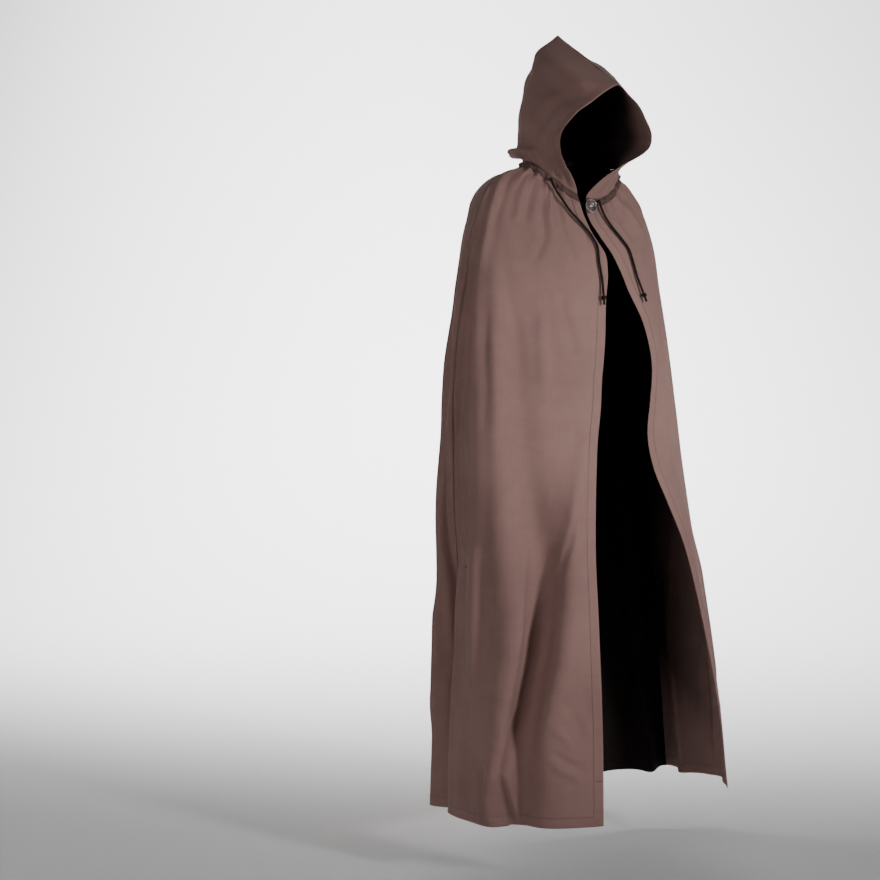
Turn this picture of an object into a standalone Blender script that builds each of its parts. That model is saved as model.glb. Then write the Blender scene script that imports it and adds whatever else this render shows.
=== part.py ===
"""Hooded cloak with a drawstring neck, kept in the shape it has when worn.

Metres, +Z up. The origin is the middle of the neck opening. The wearer would face -Y,
so the wearer's right is -X. Names with right and left mean the wearer's.
"""

from collections import namedtuple

import bpy
import bmesh
import numpy as np
from mathutils import Vector

CLOTH = 0.0016
SEAM = 0.0003
CASING_DROP = 0.015
HEM_DOWN = 1.32
SHOULDER_TILT = 0.05
HEM_TILT = 0.03
BACK_SEAM_SWING = 5.0
STEP = 0.0002

# Rows of quads down each piece, and columns of quads across it.
FRONT_COLUMNS = 24
BACK_COLUMNS = 22
HOOD_COLUMNS = 46
HOOD_ROWS = 16
GATHERS = 23

CORD_WIDE = 0.005
KNOT_WIDE = 0.0105
KNOT_TALL = 0.011
TAIL_TALL = 0.009

BUTTON_WIDE = 0.029
BUTTON_THICK = 0.0032
SHANK_WIDE = 0.006
SHANK_TALL = 0.0066
LOOP_WIDE = 0.0022

# The cloth stands on level rings. z_front, z_side and z_back are a ring's heights at the front,
# sides and back; right, left, front and back are its reach from the neck axis; square is the
# roundness of its plan, 2 for an oval. down is about the length of cloth below the neck seam.
Level = namedtuple("Level", "down z_front z_side z_back right left front back square")
BODY = (
    Level(-0.015, -0.030, 0.045, 0.055, 0.110, 0.106, 0.086, 0.080, 2.0),
    Level(0.000, -0.044, 0.032, 0.043, 0.117, 0.108, 0.090, 0.088, 2.0),
    Level(0.030, -0.074, 0.022, 0.030, 0.148, 0.122, 0.095, 0.110, 2.0),
    Level(0.065, -0.110, 0.004, 0.000, 0.181, 0.144, 0.100, 0.140, 2.1),
    Level(0.100, -0.144, -0.018, -0.032, 0.206, 0.166, 0.105, 0.160, 2.1),
    Level(0.140, -0.182, -0.046, -0.072, 0.222, 0.181, 0.109, 0.171, 2.1),
    Level(0.200, -0.238, -0.098, -0.130, 0.238, 0.200, 0.115, 0.178, 2.2),
    Level(0.300, -0.332, -0.205, -0.230, 0.254, 0.218, 0.126, 0.178, 2.3),
    Level(0.450, -0.470, -0.380, -0.395, 0.268, 0.244, 0.152, 0.172, 2.6),
    Level(0.650, -0.660, -0.608, -0.614, 0.272, 0.272, 0.186, 0.170, 2.9),
    Level(0.900, -0.905, -0.884, -0.890, 0.276, 0.314, 0.230, 0.168, 3.1),
    Level(1.120, -1.122, -1.120, -1.122, 0.279, 0.350, 0.260, 0.170, 3.3),
    Level(1.320, -1.320, -1.330, -1.336, 0.284, 0.372, 0.282, 0.172, 3.4),
)

# Where the two front edges lie, in degrees from the middle of the front to their own side.
Edge = namedtuple("Edge", "down right left")
EDGES = (
    Edge(-0.015, 18.5, -8.0),
    Edge(0.000, 16.0, -9.0),
    Edge(0.030, 9.0, -5.0),
    Edge(0.065, 1.0, 5.0),
    Edge(0.100, -7.0, 13.0),
    Edge(0.140, -8.0, 18.5),
    Edge(0.200, -5.0, 24.0),
    Edge(0.300, -2.0, 35.0),
    Edge(0.390, 2.0, 36.0),
    Edge(0.450, 4.0, 30.0),
    Edge(0.520, 7.0, 24.0),
    Edge(0.590, 9.0, 25.0),
    Edge(0.670, 11.0, 32.0),
    Edge(0.770, 13.0, 42.0),
    Edge(0.900, 14.0, 50.0),
    Edge(1.060, 15.0, 57.0),
    Edge(1.200, 16.0, 61.0),
    Edge(1.320, 17.0, 61.0),
)

# The largest folds. top and hem are where the fold starts and ends, in degrees round from the
# middle of the front by the wearer's right; it fades in between start and full, and fades out
# towards end. spread is half its width in degrees. out is how far it stands out, and lean how
# far it is pushed round, in metres.
Fold = namedtuple("Fold", "top hem start full end spread out lean")
FOLDS = (
    Fold(22, 55, 0.450, 1.200, 2.0, 9.0, -0.032, 0.000),
    Fold(34, 68, 0.450, 1.200, 2.0, 7.0, 0.018, -0.020),
    Fold(44, 40, 0.120, 0.500, 1.1, 8.0, -0.010, 0.000),
    Fold(60, 60, 0.100, 0.400, 1.0, 8.0, 0.010, 0.000),
    Fold(86, 106, 0.120, 0.900, 2.0, 7.5, -0.036, 0.000),
    Fold(100, 118, 0.160, 1.000, 2.0, 7.0, 0.020, -0.004),
    Fold(172, 138, 0.650, 1.150, 2.0, 8.0, 0.018, 0.008),
    Fold(184, 150, 0.600, 1.100, 2.0, 8.0, -0.018, 0.000),
    Fold(150, 165, 0.200, 0.700, 1.2, 10.0, 0.010, 0.000),
    Fold(206, 206, 0.350, 1.100, 2.0, 8.0, 0.012, 0.000),
    Fold(222, 226, 0.400, 1.150, 2.0, 8.0, -0.038, 0.000),
    Fold(234, 238, 0.300, 1.100, 2.0, 7.5, 0.018, -0.004),
    Fold(256, 260, 0.220, 1.100, 2.0, 8.0, -0.030, 0.000),
    Fold(274, 276, 0.260, 1.100, 2.0, 7.0, 0.014, 0.010),
)

# The hood's levels, from the casing up to the seam over the crown. edge_x, edge_y and edge_z
# place the edge round the face; side is the half width; back_y and back_z place the seam at
# the back; curve is how deep the rounded back is.
Hood = namedtuple("Hood", "up edge_x edge_y edge_z side back_y back_z curve")
HOOD = (
    Hood(0.00, 0.036, -0.081, -0.027, 0.108, 0.080, 0.056, 0.080),
    Hood(0.02, 0.038, -0.083, -0.019, 0.109, 0.082, 0.062, 0.080),
    Hood(0.06, 0.052, -0.092, 0.003, 0.113, 0.103, 0.065, 0.085),
    Hood(0.14, 0.080, -0.104, 0.036, 0.115, 0.127, 0.072, 0.090),
    Hood(0.24, 0.104, -0.128, 0.066, 0.105, 0.131, 0.088, 0.090),
    Hood(0.36, 0.110, -0.143, 0.102, 0.096, 0.124, 0.130, 0.088),
    Hood(0.50, 0.085, -0.155, 0.142, 0.090, 0.121, 0.184, 0.086),
    Hood(0.65, 0.055, -0.171, 0.166, 0.080, 0.114, 0.237, 0.082),
    Hood(0.80, 0.028, -0.176, 0.186, 0.066, 0.101, 0.282, 0.076),
    Hood(0.92, 0.012, -0.180, 0.196, 0.045, 0.083, 0.310, 0.060),
    Hood(1.00, 0.000, -0.183, 0.201, 0.000, 0.056, 0.328, 0.040),
)

# Rolls and hollows of the hood: a line from one place to another, each given as a part of the
# way round (0 at the right edge, 1 at the left edge) and up; spread is its half width up.
Roll = namedtuple("Roll", "from_round from_up to_round to_up spread out")
ROLLS = (
    Roll(0.22, 0.155, 0.50, 0.120, 0.060, 0.006),
    Roll(0.50, 0.120, 0.78, 0.160, 0.055, 0.007),
    Roll(0.20, 0.270, 0.50, 0.250, 0.055, -0.005),
    Roll(0.50, 0.250, 0.80, 0.280, 0.050, -0.007),
    Roll(0.06, 0.300, 0.30, 0.420, 0.070, 0.006),
    Roll(0.72, 0.400, 0.95, 0.300, 0.070, 0.006),
)

# Where each cord lies on the fronts, from its hole in the casing to the top of its knot: places
# round and down the cloth, and how far the cord's middle is lifted off the plain ring there.
Lay = namedtuple("Lay", "around down lift")
RIGHT_LAY = (
    Lay(0.0978, -0.0065, 0.0000),
    Lay(0.0900, 0.0080, 0.0110),
    Lay(0.0640, 0.0200, 0.0105),
    Lay(0.0430, 0.0320, 0.0090),
    Lay(0.0200, 0.0460, 0.0075),
    Lay(0.0100, 0.0650, 0.0070),
    Lay(0.0130, 0.0850, 0.0065),
    Lay(0.0212, 0.1200, 0.0060),
    Lay(0.0150, 0.1600, 0.0065),
    Lay(0.0100, 0.1950, 0.0090),
)
LEFT_LAY = (
    Lay(0.9640, -0.0076, 0.0000),
    Lay(0.9600, 0.0040, 0.0095),
    Lay(0.9562, 0.0220, 0.0080),
    Lay(0.9541, 0.0459, 0.0070),
    Lay(0.9550, 0.0815, 0.0065),
    Lay(0.9560, 0.1112, 0.0060),
    Lay(0.9614, 0.1400, 0.0060),
    Lay(0.9687, 0.1795, 0.0065),
    Lay(0.9740, 0.2200, 0.0090),
)

BUTTON_AROUND = 0.9906
BUTTON_DOWN = 0.0045
LOOP_RADIUS = 0.0047
LOOP_TALL = 0.0036


def clear_scene():
    for old in list(bpy.data.objects):
        bpy.data.objects.remove(old)


def material(name, colour, roughness, metallic):
    made = bpy.data.materials.new(name)
    made.use_nodes = True
    shader = made.node_tree.nodes["Principled BSDF"]
    shader.inputs["Base Color"].default_value = (*colour, 1.0)
    shader.inputs["Roughness"].default_value = roughness
    shader.inputs["Metallic"].default_value = metallic
    return made


def column(rows, key, name, at):
    """One column of a table, read on a smooth curve at any place between its rows."""
    place = np.array([getattr(row, key) for row in rows])
    value = np.array([getattr(row, name) for row in rows])
    slope = np.gradient(value, place)
    index = np.clip(np.searchsorted(place, at) - 1, 0, len(rows) - 2)
    span = place[index + 1] - place[index]
    t = (at - place[index]) / span
    start = (1 + 2 * t) * (1 - t) ** 2 * value[index] + t * (1 - t) ** 2 * span * slope[index]
    end = t * t * (3 - 2 * t) * value[index + 1] + t * t * (t - 1) * span * slope[index + 1]
    return start + end


def smooth(low, high, at):
    t = np.clip((at - low) / (high - low), 0.0, 1.0)
    return t * t * (3 - 2 * t)


def unit(vectors):
    return vectors / np.maximum(np.linalg.norm(vectors, axis=-1, keepdims=True), 1e-12)


def turn_at(around, down):
    """Degrees round from the middle of the front, by the wearer's right."""
    right = column(EDGES, "down", "right", down)
    left = 360 - column(EDGES, "down", "left", down)
    back = 180 + BACK_SEAM_SWING * np.maximum(down, 0) / HEM_DOWN
    share = 2 * around
    return np.where(around < 0.5, right + (back - right) * share, back + (left - back) * (share - 1))


def level_ring(around, down):
    """The body's cloth before its folds."""
    turn = np.radians(turn_at(around, down))
    side = np.sin(turn)
    fore = np.cos(turn)
    power = 2 / column(BODY, "down", "square", down)
    wide = np.where(side > 0, column(BODY, "down", "right", down), column(BODY, "down", "left", down))
    deep = np.where(fore > 0, column(BODY, "down", "front", down), column(BODY, "down", "back", down))
    end_z = np.where(fore > 0, column(BODY, "down", "z_front", down), column(BODY, "down", "z_back", down))
    side_z = column(BODY, "down", "z_side", down)
    power = np.where(fore > 0, 1.0, power)
    drop = np.where(fore > 0, 2.0 - 0.6 * smooth(0.0, 0.1, down), 2.0)
    x = -wide * np.sign(side) * np.abs(side) ** power
    y = -deep * np.sign(fore) * np.abs(fore) ** power
    z = side_z + (end_z - side_z) * np.abs(fore) ** drop
    z = z - SHOULDER_TILT * x * (1 - smooth(0.1, 0.4, down)) + HEM_TILT * x * smooth(0.5, 1.3, down)
    return np.stack([x, y, z], axis=-1)


def normal_of(surface, a, b):
    """The normal of a surface of two numbers, and its direction along the first."""
    along = surface(a + STEP, b) - surface(a - STEP, b)
    down = surface(a, b + STEP) - surface(a, b - STEP)
    return unit(np.cross(along, down)), unit(along)


def grid_normal(points):
    """The normal at each point of a grid, from its neighbours."""
    return unit(np.cross(np.gradient(points, axis=0), np.gradient(points, axis=1)))


def gather_wave(around, reach):
    """Uneven gathers: 1 on a crest, -1 in a hollow, fading out as reach goes from 0 to 1."""
    uneven = 0.75 + 0.25 * np.sin(around * 37.0 + 1.0)
    short = 0.7 + 0.3 * np.sin(around * 53.0)
    inside = smooth(0.0, 0.07, around) * smooth(0.0, 0.07, 1 - around)
    wave = np.sin(2 * np.pi * GATHERS * around) * uneven * inside
    return wave * (1 - smooth(0.0, 1.0, reach / short))


def folds_at(around, down):
    """How far the folds move the cloth out and round."""
    turn = turn_at(around, down)
    out = 0.0045 * gather_wave(around, np.maximum(down, 0) / 0.11)
    out = out * (0.4 + 0.6 * smooth(-CASING_DROP, 0.01, down))
    lean = np.zeros_like(out)
    for fold in FOLDS:
        middle = fold.top + (fold.hem - fold.top) * smooth(fold.start, HEM_DOWN, down)
        grown = smooth(fold.start, fold.full, down) * (1 - smooth(fold.end - 0.2, fold.end, down))
        bump = grown * np.exp(-(((turn - middle) / fold.spread) ** 2))
        out = out + fold.out * bump
        lean = lean + fold.lean * bump
    return out, lean


def body_cloth(around, down):
    """The middle of the body's cloth: around 0 is the right front's edge, 1 the left front's."""
    normal, along = normal_of(level_ring, around, down)
    out, lean = folds_at(around, down)
    belly = 0.0035 * np.sin(np.pi * np.clip((down + CASING_DROP) / CASING_DROP, 0, 1)) ** 2
    belly = belly * smooth(0.0, 0.06, around) * smooth(0.0, 0.06, 1 - around)
    return level_ring(around, down) + normal * (out + belly)[..., None] + along * lean[..., None]


def hood_section(around, up):
    """The hood before its rolls, each level a rounded back and two cheeks running forward."""
    side = column(HOOD, "up", "side", up)
    curve = column(HOOD, "up", "curve", up)
    back_y = column(HOOD, "up", "back_y", up)
    back_z = column(HOOD, "up", "back_z", up)
    edge_x = column(HOOD, "up", "edge_x", up)
    edge_y = column(HOOD, "up", "edge_y", up)
    edge_z = column(HOOD, "up", "edge_z", up)
    hand = np.where(around < 0.5, -1.0, 1.0)
    forward = np.abs(2 * around - 1)
    arc = 1.571 * np.sqrt((side**2 + curve**2) / 2)
    cheek = back_y - curve - edge_y
    share = arc / (arc + cheek)
    angle = np.minimum(forward / share, 1) * np.pi / 2
    ahead = np.clip((forward - share) / (1 - share), 0, 1)
    x = side * np.sin(angle) + (edge_x - side) * ahead**2
    y = back_y - curve * (1 - np.cos(angle)) - cheek * ahead
    z = back_z + (edge_z - back_z) * (back_y - y) / (back_y - edge_y)
    return np.stack([hand * x, y, z], axis=-1)


def rolls_at(around, up):
    out = np.zeros_like(around + up)
    for roll in ROLLS:
        part = np.clip((around - roll.from_round) / (roll.to_round - roll.from_round), 0, 1)
        line = roll.from_up + (roll.to_up - roll.from_up) * part
        past = np.abs(around - (roll.from_round + (roll.to_round - roll.from_round) * part))
        out = out + roll.out * np.exp(-(((up - line) / roll.spread) ** 2) - (past / 0.05) ** 2)
    return out


def hood_cloth(around, up):
    """The middle of the hood's cloth: up 0 is on the casing, 1 on the seam over the crown."""
    normal, _ = normal_of(hood_section, around, up)
    out = rolls_at(around, up) * smooth(0.0, 0.12, up) * (1 - smooth(0.8, 1.0, up))
    out = out + 0.0022 * gather_wave(around, up / 0.25) * smooth(0.0, 0.06, up)
    own = hood_section(around, up) - normal * out[..., None]
    edge = np.full_like(up, -CASING_DROP - SEAM)
    ring = level_ring(around, edge)
    gathers = body_cloth(around, edge) - ring
    start = hood_section(around, np.zeros_like(up))
    own = own + (ring - start) * (1 - smooth(0.0, 0.3, up))[..., None]
    return own + gathers * (1 - smooth(0.0, 0.05, up))[..., None]


def wall(name, middle, normal, look):
    """One piece of cloth as a closed wall of even thickness on a grid of points.

    Both sides are cut along the same diagonals, so that the wall stays even where it twists.
    """
    rows, columns = middle.shape[:2]
    sheet = rows * columns
    points = np.concatenate(
        [
            (middle + normal * CLOTH / 2).reshape(-1, 3),
            (middle - normal * CLOTH / 2).reshape(-1, 3),
        ]
    )
    index = np.arange(sheet).reshape(rows, columns)
    faces = []
    for r in range(rows - 1):
        for c in range(columns - 1):
            below = [index[r, c], index[r + 1, c], index[r + 1, c + 1]]
            above = [index[r, c], index[r + 1, c + 1], index[r, c + 1]]
            for half in (below, above):
                faces.append(half)
                faces.append([i + sheet for i in reversed(half)])
    rim = list(index[0, :-1]) + list(index[:-1, -1]) + list(index[-1, :0:-1]) + list(index[:0:-1, 0])
    for i, first in enumerate(rim):
        second = rim[(i + 1) % len(rim)]
        faces.append([first, second, second + sheet, first + sheet])
    return mesh_object(name, points, faces, look)


def mesh_object(name, points, faces, look):
    data = bpy.data.meshes.new(name)
    data.from_pydata([tuple(p) for p in points], [], [[int(i) for i in f] for f in faces])
    shape = bmesh.new()
    shape.from_mesh(data)
    bmesh.ops.recalc_face_normals(shape, faces=shape.faces)
    if shape.calc_volume(signed=True) < 0:
        bmesh.ops.reverse_faces(shape, faces=shape.faces)
    shape.to_mesh(data)
    shape.free()
    data.polygons.foreach_set("use_smooth", [True] * len(data.polygons))
    data.materials.append(look)
    made = bpy.data.objects.new(name, data)
    bpy.context.collection.objects.link(made)
    return made


def lathe(name, profile, segments, place, axis, look):
    """A round piece: profile is a list of radius and height, turned about axis at place."""
    points = []
    faces = []
    for radius, height in profile:
        for s in range(segments):
            angle = 2 * np.pi * s / segments
            points.append((radius * np.cos(angle), radius * np.sin(angle), height))
    for r in range(len(profile) - 1):
        for s in range(segments):
            t = (s + 1) % segments
            faces.append((r * segments + s, r * segments + t, (r + 1) * segments + t, (r + 1) * segments + s))
    faces.append(list(range(segments)))
    faces.append(list(range((len(profile) - 1) * segments, len(profile) * segments)))
    turn = Vector(axis).to_track_quat("Z", "Y")
    placed = [turn @ Vector(p) + Vector(place) for p in points]
    return mesh_object(name, placed, faces, look)


def smooth_route(route, spacing):
    """Points evenly spaced on a smooth curve through the route's points."""
    route = np.array(route)
    chord = np.concatenate([[0], np.cumsum(np.linalg.norm(np.diff(route, axis=0), axis=1))])
    slope = np.gradient(route, chord, axis=0)
    count = int(chord[-1] / spacing) + 1
    found = []
    for at in np.linspace(0, chord[-1], count):
        i = int(np.clip(np.searchsorted(chord, at) - 1, 0, len(chord) - 2))
        span = chord[i + 1] - chord[i]
        t = (at - chord[i]) / span
        start = (1 + 2 * t) * (1 - t) ** 2 * route[i] + t * (1 - t) ** 2 * span * slope[i]
        end = t * t * (3 - 2 * t) * route[i + 1] + t * t * (t - 1) * span * slope[i + 1]
        found.append(start + end)
    return found


def cord(name, points, wide, look):
    data = bpy.data.curves.new(name, "CURVE")
    data.dimensions = "3D"
    data.bevel_depth = wide / 2
    data.bevel_resolution = 2
    data.use_fill_caps = True
    line = data.splines.new("POLY")
    line.points.add(len(points) - 1)
    for spot, p in zip(line.points, points):
        spot.co = (*p, 1.0)
    data.materials.append(look)
    made = bpy.data.objects.new(name, data)
    bpy.context.collection.objects.link(made)
    return made


def even_rows():
    """Places of the body's rings: close together over the shoulders, wider apart below."""
    near = [0.0, 0.018, 0.036, 0.056, 0.080, 0.110, 0.145, 0.190, 0.250, 0.320]
    return near + [float(x) for x in np.linspace(0.40, HEM_DOWN, 11)]


def build_body(cloth):
    """The four panels, each with its seam edges drawn in by half the seam's gap."""
    total = 2 * FRONT_COLUMNS + 2 * BACK_COLUMNS
    cuts = [0, FRONT_COLUMNS, FRONT_COLUMNS + BACK_COLUMNS, total - FRONT_COLUMNS, total]
    names = ("front_right", "back_right", "back_left", "front_left")
    rows = np.array(even_rows())
    rows[0] = 0.7 * SEAM
    for name, first, last in zip(names, cuts, cuts[1:]):
        around, down = np.meshgrid(np.arange(first, last + 1) / total, rows)
        middle = body_cloth(around, down)
        normal, along = normal_of(body_cloth, around, down)
        if first > 0:
            middle[:, 0] += along[:, 0] * 0.7 * SEAM
        if last < total:
            middle[:, -1] -= along[:, -1] * 0.7 * SEAM
        wall(name, middle, normal, cloth)


def build_casing(cloth):
    total = 2 * FRONT_COLUMNS + 2 * BACK_COLUMNS
    rows = np.linspace(0.5 * SEAM - CASING_DROP, -1.0 * SEAM, 3)
    around, down = np.meshgrid(np.arange(total + 1) / total, rows)
    normal, _ = normal_of(body_cloth, around, down)
    wall("neck_casing", body_cloth(around, down), normal, cloth)


def build_hood(cloth):
    """The two halves, square to the seam between them and to the casing where they meet it."""
    rows = np.linspace(0.0, 1.0, HOOD_ROWS + 1) ** 1.5
    for name, hand in (("hood_right", -1.0), ("hood_left", 1.0)):
        places = 0.5 + hand * np.linspace(0.5, 0.0002, HOOD_COLUMNS + 1)
        around, up = np.meshgrid(places, rows)
        middle = hood_cloth(around, up)
        middle[:, -1, 0] = 0.0
        middle[-1, :, 0] = 0.0
        middle[..., 0] += hand * SEAM / 2
        normal = -hand * grid_normal(middle)
        normal[0], _ = normal_of(body_cloth, around[0], np.full(len(places), -CASING_DROP))
        normal[:, -1, 0] = 0.0
        normal[-1, :, 0] = 0.0
        wall(name, middle, unit(normal), cloth)


def off_cloth(surface, around, down, lift):
    """A point lifted off the cloth, and the cloth's outward direction there."""
    around = np.array([around])
    down = np.array([down])
    normal, _ = normal_of(surface, around, down)
    return (surface(around, down) + normal * lift)[0], normal[0]


def cord_route(lays):
    start, outward = off_cloth(body_cloth, lays[0].around, lays[0].down, CLOTH / 2 + 2 * SEAM)
    route = [start, start + outward * 0.005]
    for lay in lays[1:]:
        point, _ = off_cloth(level_ring, lay.around, lay.down, lay.lift)
        route.append(point)
    return route


def build_cords(cord_look):
    for name, lays in (("drawstring_right", RIGHT_LAY), ("drawstring_left", LEFT_LAY)):
        cord(name, smooth_route(cord_route(lays), 2.0 * CORD_WIDE), CORD_WIDE, cord_look)


def build_knots(cord_look):
    half = CORD_WIDE / 2
    bulge = KNOT_WIDE / 2
    profile = (
        (half * 0.9, 0.0),
        (bulge * 0.86, -KNOT_TALL * 0.18),
        (bulge, -KNOT_TALL * 0.42),
        (bulge * 0.93, -KNOT_TALL * 0.68),
        (bulge * 0.70, -KNOT_TALL * 0.90),
        (half, -KNOT_TALL),
        (half, -KNOT_TALL - TAIL_TALL),
    )
    for name, lays in (("knot_right", RIGHT_LAY), ("knot_left", LEFT_LAY)):
        points = smooth_route(cord_route(lays), 2.0 * CORD_WIDE)
        end = Vector(points[-1])
        way = (Vector(points[-2]) - end).normalized()
        lathe(name, profile, 12, end - way * SEAM, way, cord_look)


def build_loop(cord_look):
    """The loop leaves the right front's edge, goes round the button's shank and comes back."""
    place, outward = off_cloth(body_cloth, BUTTON_AROUND, BUTTON_DOWN, CLOTH / 2 + LOOP_TALL)
    edge = body_cloth(np.array([0.0]), np.array([BUTTON_DOWN]))[0]
    toward = place - edge
    toward = unit(toward - outward * np.dot(toward, outward))
    across = np.cross(outward, toward)
    downs = np.array([BUTTON_DOWN - 0.0018, BUTTON_DOWN + 0.0018])
    upper, lower = body_cloth(np.zeros(2), downs) + toward * 0.0018
    half = 0.45 * edge + 0.55 * (place - toward * LOOP_RADIUS) + outward * 0.0008
    route = [upper, half + across * 0.0028]
    for angle in np.radians((140, 100, 50, 0, -50, -100, -140)):
        route.append(place + LOOP_RADIUS * (toward * np.cos(angle) + across * np.sin(angle)))
    route += [half - across * 0.0028, lower]
    cord("button_loop", smooth_route(route, 0.9 * LOOP_WIDE), LOOP_WIDE, cord_look)


def build_button(metal):
    place, outward = off_cloth(body_cloth, BUTTON_AROUND, BUTTON_DOWN, CLOTH / 2 + SEAM)
    radius = BUTTON_WIDE / 2
    profile = (
        (SHANK_WIDE / 2, 0.0),
        (SHANK_WIDE / 2, SHANK_TALL),
        (radius * 0.94, SHANK_TALL),
        (radius, SHANK_TALL + BUTTON_THICK * 0.35),
        (radius * 0.97, SHANK_TALL + BUTTON_THICK * 0.80),
        (radius * 0.86, SHANK_TALL + BUTTON_THICK),
        (radius * 0.76, SHANK_TALL + BUTTON_THICK * 0.72),
        (radius * 0.40, SHANK_TALL + BUTTON_THICK * 0.80),
        (radius * 0.30, SHANK_TALL + BUTTON_THICK * 1.10),
    )
    lathe("button", profile, 28, place, outward, metal)


def main():
    clear_scene()
    cloth = material("cloak_cloth", (0.20, 0.13, 0.11), 0.92, 0.0)
    braid = material("drawstring_braid", (0.018, 0.012, 0.010), 0.8, 0.0)
    pewter = material("button_pewter", (0.50, 0.46, 0.43), 0.38, 1.0)
    build_hood(cloth)
    build_casing(cloth)
    build_body(cloth)
    build_cords(braid)
    build_knots(braid)
    build_loop(braid)
    build_button(pewter)


main()
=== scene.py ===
"""Looks of the hooded cloak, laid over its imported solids.

Metres, +Z up, in the row's frame. The wearer would face -Y, and their right is -X.
"""

from collections import namedtuple

import bpy
import numpy as np
from mathutils import Matrix, Vector


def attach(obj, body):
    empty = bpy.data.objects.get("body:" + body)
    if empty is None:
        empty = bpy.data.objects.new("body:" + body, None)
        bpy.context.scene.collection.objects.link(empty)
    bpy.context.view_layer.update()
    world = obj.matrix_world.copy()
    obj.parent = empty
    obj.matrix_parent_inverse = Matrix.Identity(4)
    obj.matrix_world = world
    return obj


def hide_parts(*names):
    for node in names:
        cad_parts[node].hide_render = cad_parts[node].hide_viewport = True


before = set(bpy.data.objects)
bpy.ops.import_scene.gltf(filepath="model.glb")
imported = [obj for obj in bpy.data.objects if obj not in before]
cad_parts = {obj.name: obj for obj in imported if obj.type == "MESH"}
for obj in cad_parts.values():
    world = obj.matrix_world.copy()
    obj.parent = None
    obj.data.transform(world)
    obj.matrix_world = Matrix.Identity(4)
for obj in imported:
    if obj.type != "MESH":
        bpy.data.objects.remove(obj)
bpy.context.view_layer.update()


# Camera, floor and light.
# The photo looks at the wearer's front from 32 degrees round to their right, a little below
# the neck's height. The floor and the wall behind it are one pale curved sheet.

camera_data = bpy.data.cameras.new("camera")
camera_data.lens = 85
camera_data.sensor_width = 36
camera = bpy.data.objects.new("camera", camera_data)
bpy.context.collection.objects.link(camera)
bpy.context.scene.camera = camera
AZIMUTH = np.radians(-32.0)
DISTANCE = 4.5
CAMERA_HEIGHT = -0.25
NECK_PIXEL = (570, 187)
IMAGE = 880
FOCAL_PIXELS = camera_data.lens / camera_data.sensor_width * IMAGE
toward = np.array([-np.sin(AZIMUTH), np.cos(AZIMUTH), 0.0])
sideways = np.array([np.cos(AZIMUTH), np.sin(AZIMUTH), 0.0])
yaw = np.arctan2(NECK_PIXEL[0] - IMAGE / 2, FOCAL_PIXELS)
pitch = np.arctan2(-CAMERA_HEIGHT, DISTANCE) - np.arctan2(IMAGE / 2 - NECK_PIXEL[1], FOCAL_PIXELS)
aim = (toward * np.cos(yaw) - sideways * np.sin(yaw)) * np.cos(pitch) + np.array([0, 0, np.sin(pitch)])
camera.location = tuple(-toward * DISTANCE + np.array([0, 0, CAMERA_HEIGHT]))
camera.rotation_euler = Vector(aim).to_track_quat("-Z", "Y").to_euler()

FLOOR_Z = -1.46
FLOOR_NEAR = -9.0
FLOOR_FAR = 3.0
FLOOR_SIDE = 9.0
BEND_RADIUS = 2.5
WALL_TOP = 8.0
sweep = []
for distance in np.linspace(FLOOR_NEAR, FLOOR_FAR, 7):
    sweep.append((distance, FLOOR_Z))
for angle in np.radians(np.linspace(9, 90, 10)):
    sweep.append((FLOOR_FAR + BEND_RADIUS * np.sin(angle), FLOOR_Z + BEND_RADIUS * (1 - np.cos(angle))))
sweep.append((FLOOR_FAR + BEND_RADIUS, WALL_TOP))
corners = []
for distance, height in sweep:
    for side in (-FLOOR_SIDE, FLOOR_SIDE):
        corners.append(tuple(toward * distance + sideways * side + np.array([0, 0, height])))
strips = [(2 * i, 2 * i + 1, 2 * i + 3, 2 * i + 2) for i in range(len(sweep) - 1)]
floor_data = bpy.data.meshes.new("studio_floor")
floor_data.from_pydata(corners, [], strips)
floor_data.polygons.foreach_set("use_smooth", [True] * len(strips))
floor_look = bpy.data.materials.new("studio_paper")
floor_look.use_nodes = True
paper = floor_look.node_tree.nodes["Principled BSDF"]
paper.inputs["Base Color"].default_value = (0.86, 0.86, 0.86, 1)
paper.inputs["Roughness"].default_value = 0.9
paper.inputs["Specular IOR Level"].default_value = 0.1
floor_data.materials.append(floor_look)
floor = bpy.data.objects.new("studio_floor", floor_data)
bpy.context.collection.objects.link(floor)

world = bpy.data.worlds.new("studio")
world.use_nodes = True
world.node_tree.nodes["Background"].inputs["Color"].default_value = (1.0, 0.985, 0.97, 1)
world.node_tree.nodes["Background"].inputs["Strength"].default_value = 0.10
bpy.context.scene.world = world

Lamp = namedtuple("Lamp", "name place aim size power spread")
LAMPS = (
    Lamp("key", (1.1, -3.6, 0.3), (0.0, 0.0, -0.52), 0.5, 5.1, 37),
    Lamp("fill", (-3.4, -2.0, 0.2), (0.0, 0.0, -0.7), 1.8, 35, 180),
    Lamp("paper_light", (-1.2, 2.4, 3.4), (2.3, 3.8, -0.4), 2.0, 420, 88),
)
for lamp in LAMPS:
    light = bpy.data.lights.new(lamp.name, "AREA")
    light.shape = "DISK"
    light.size = lamp.size
    light.energy = lamp.power
    light.spread = np.radians(lamp.spread)
    light_object = bpy.data.objects.new(lamp.name, light)
    light_object.location = lamp.place
    way = Vector(lamp.aim) - Vector(lamp.place)
    light_object.rotation_euler = way.to_track_quat("-Z", "Y").to_euler()
    bpy.context.collection.objects.link(light_object)


# The shape that the cloth hangs in.
# The body's cloth is drawn in round the neck and falls from the shoulders to the hem, and the
# hood stands on the neck casing. The tables and the functions are the ones that the solids use.

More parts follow.
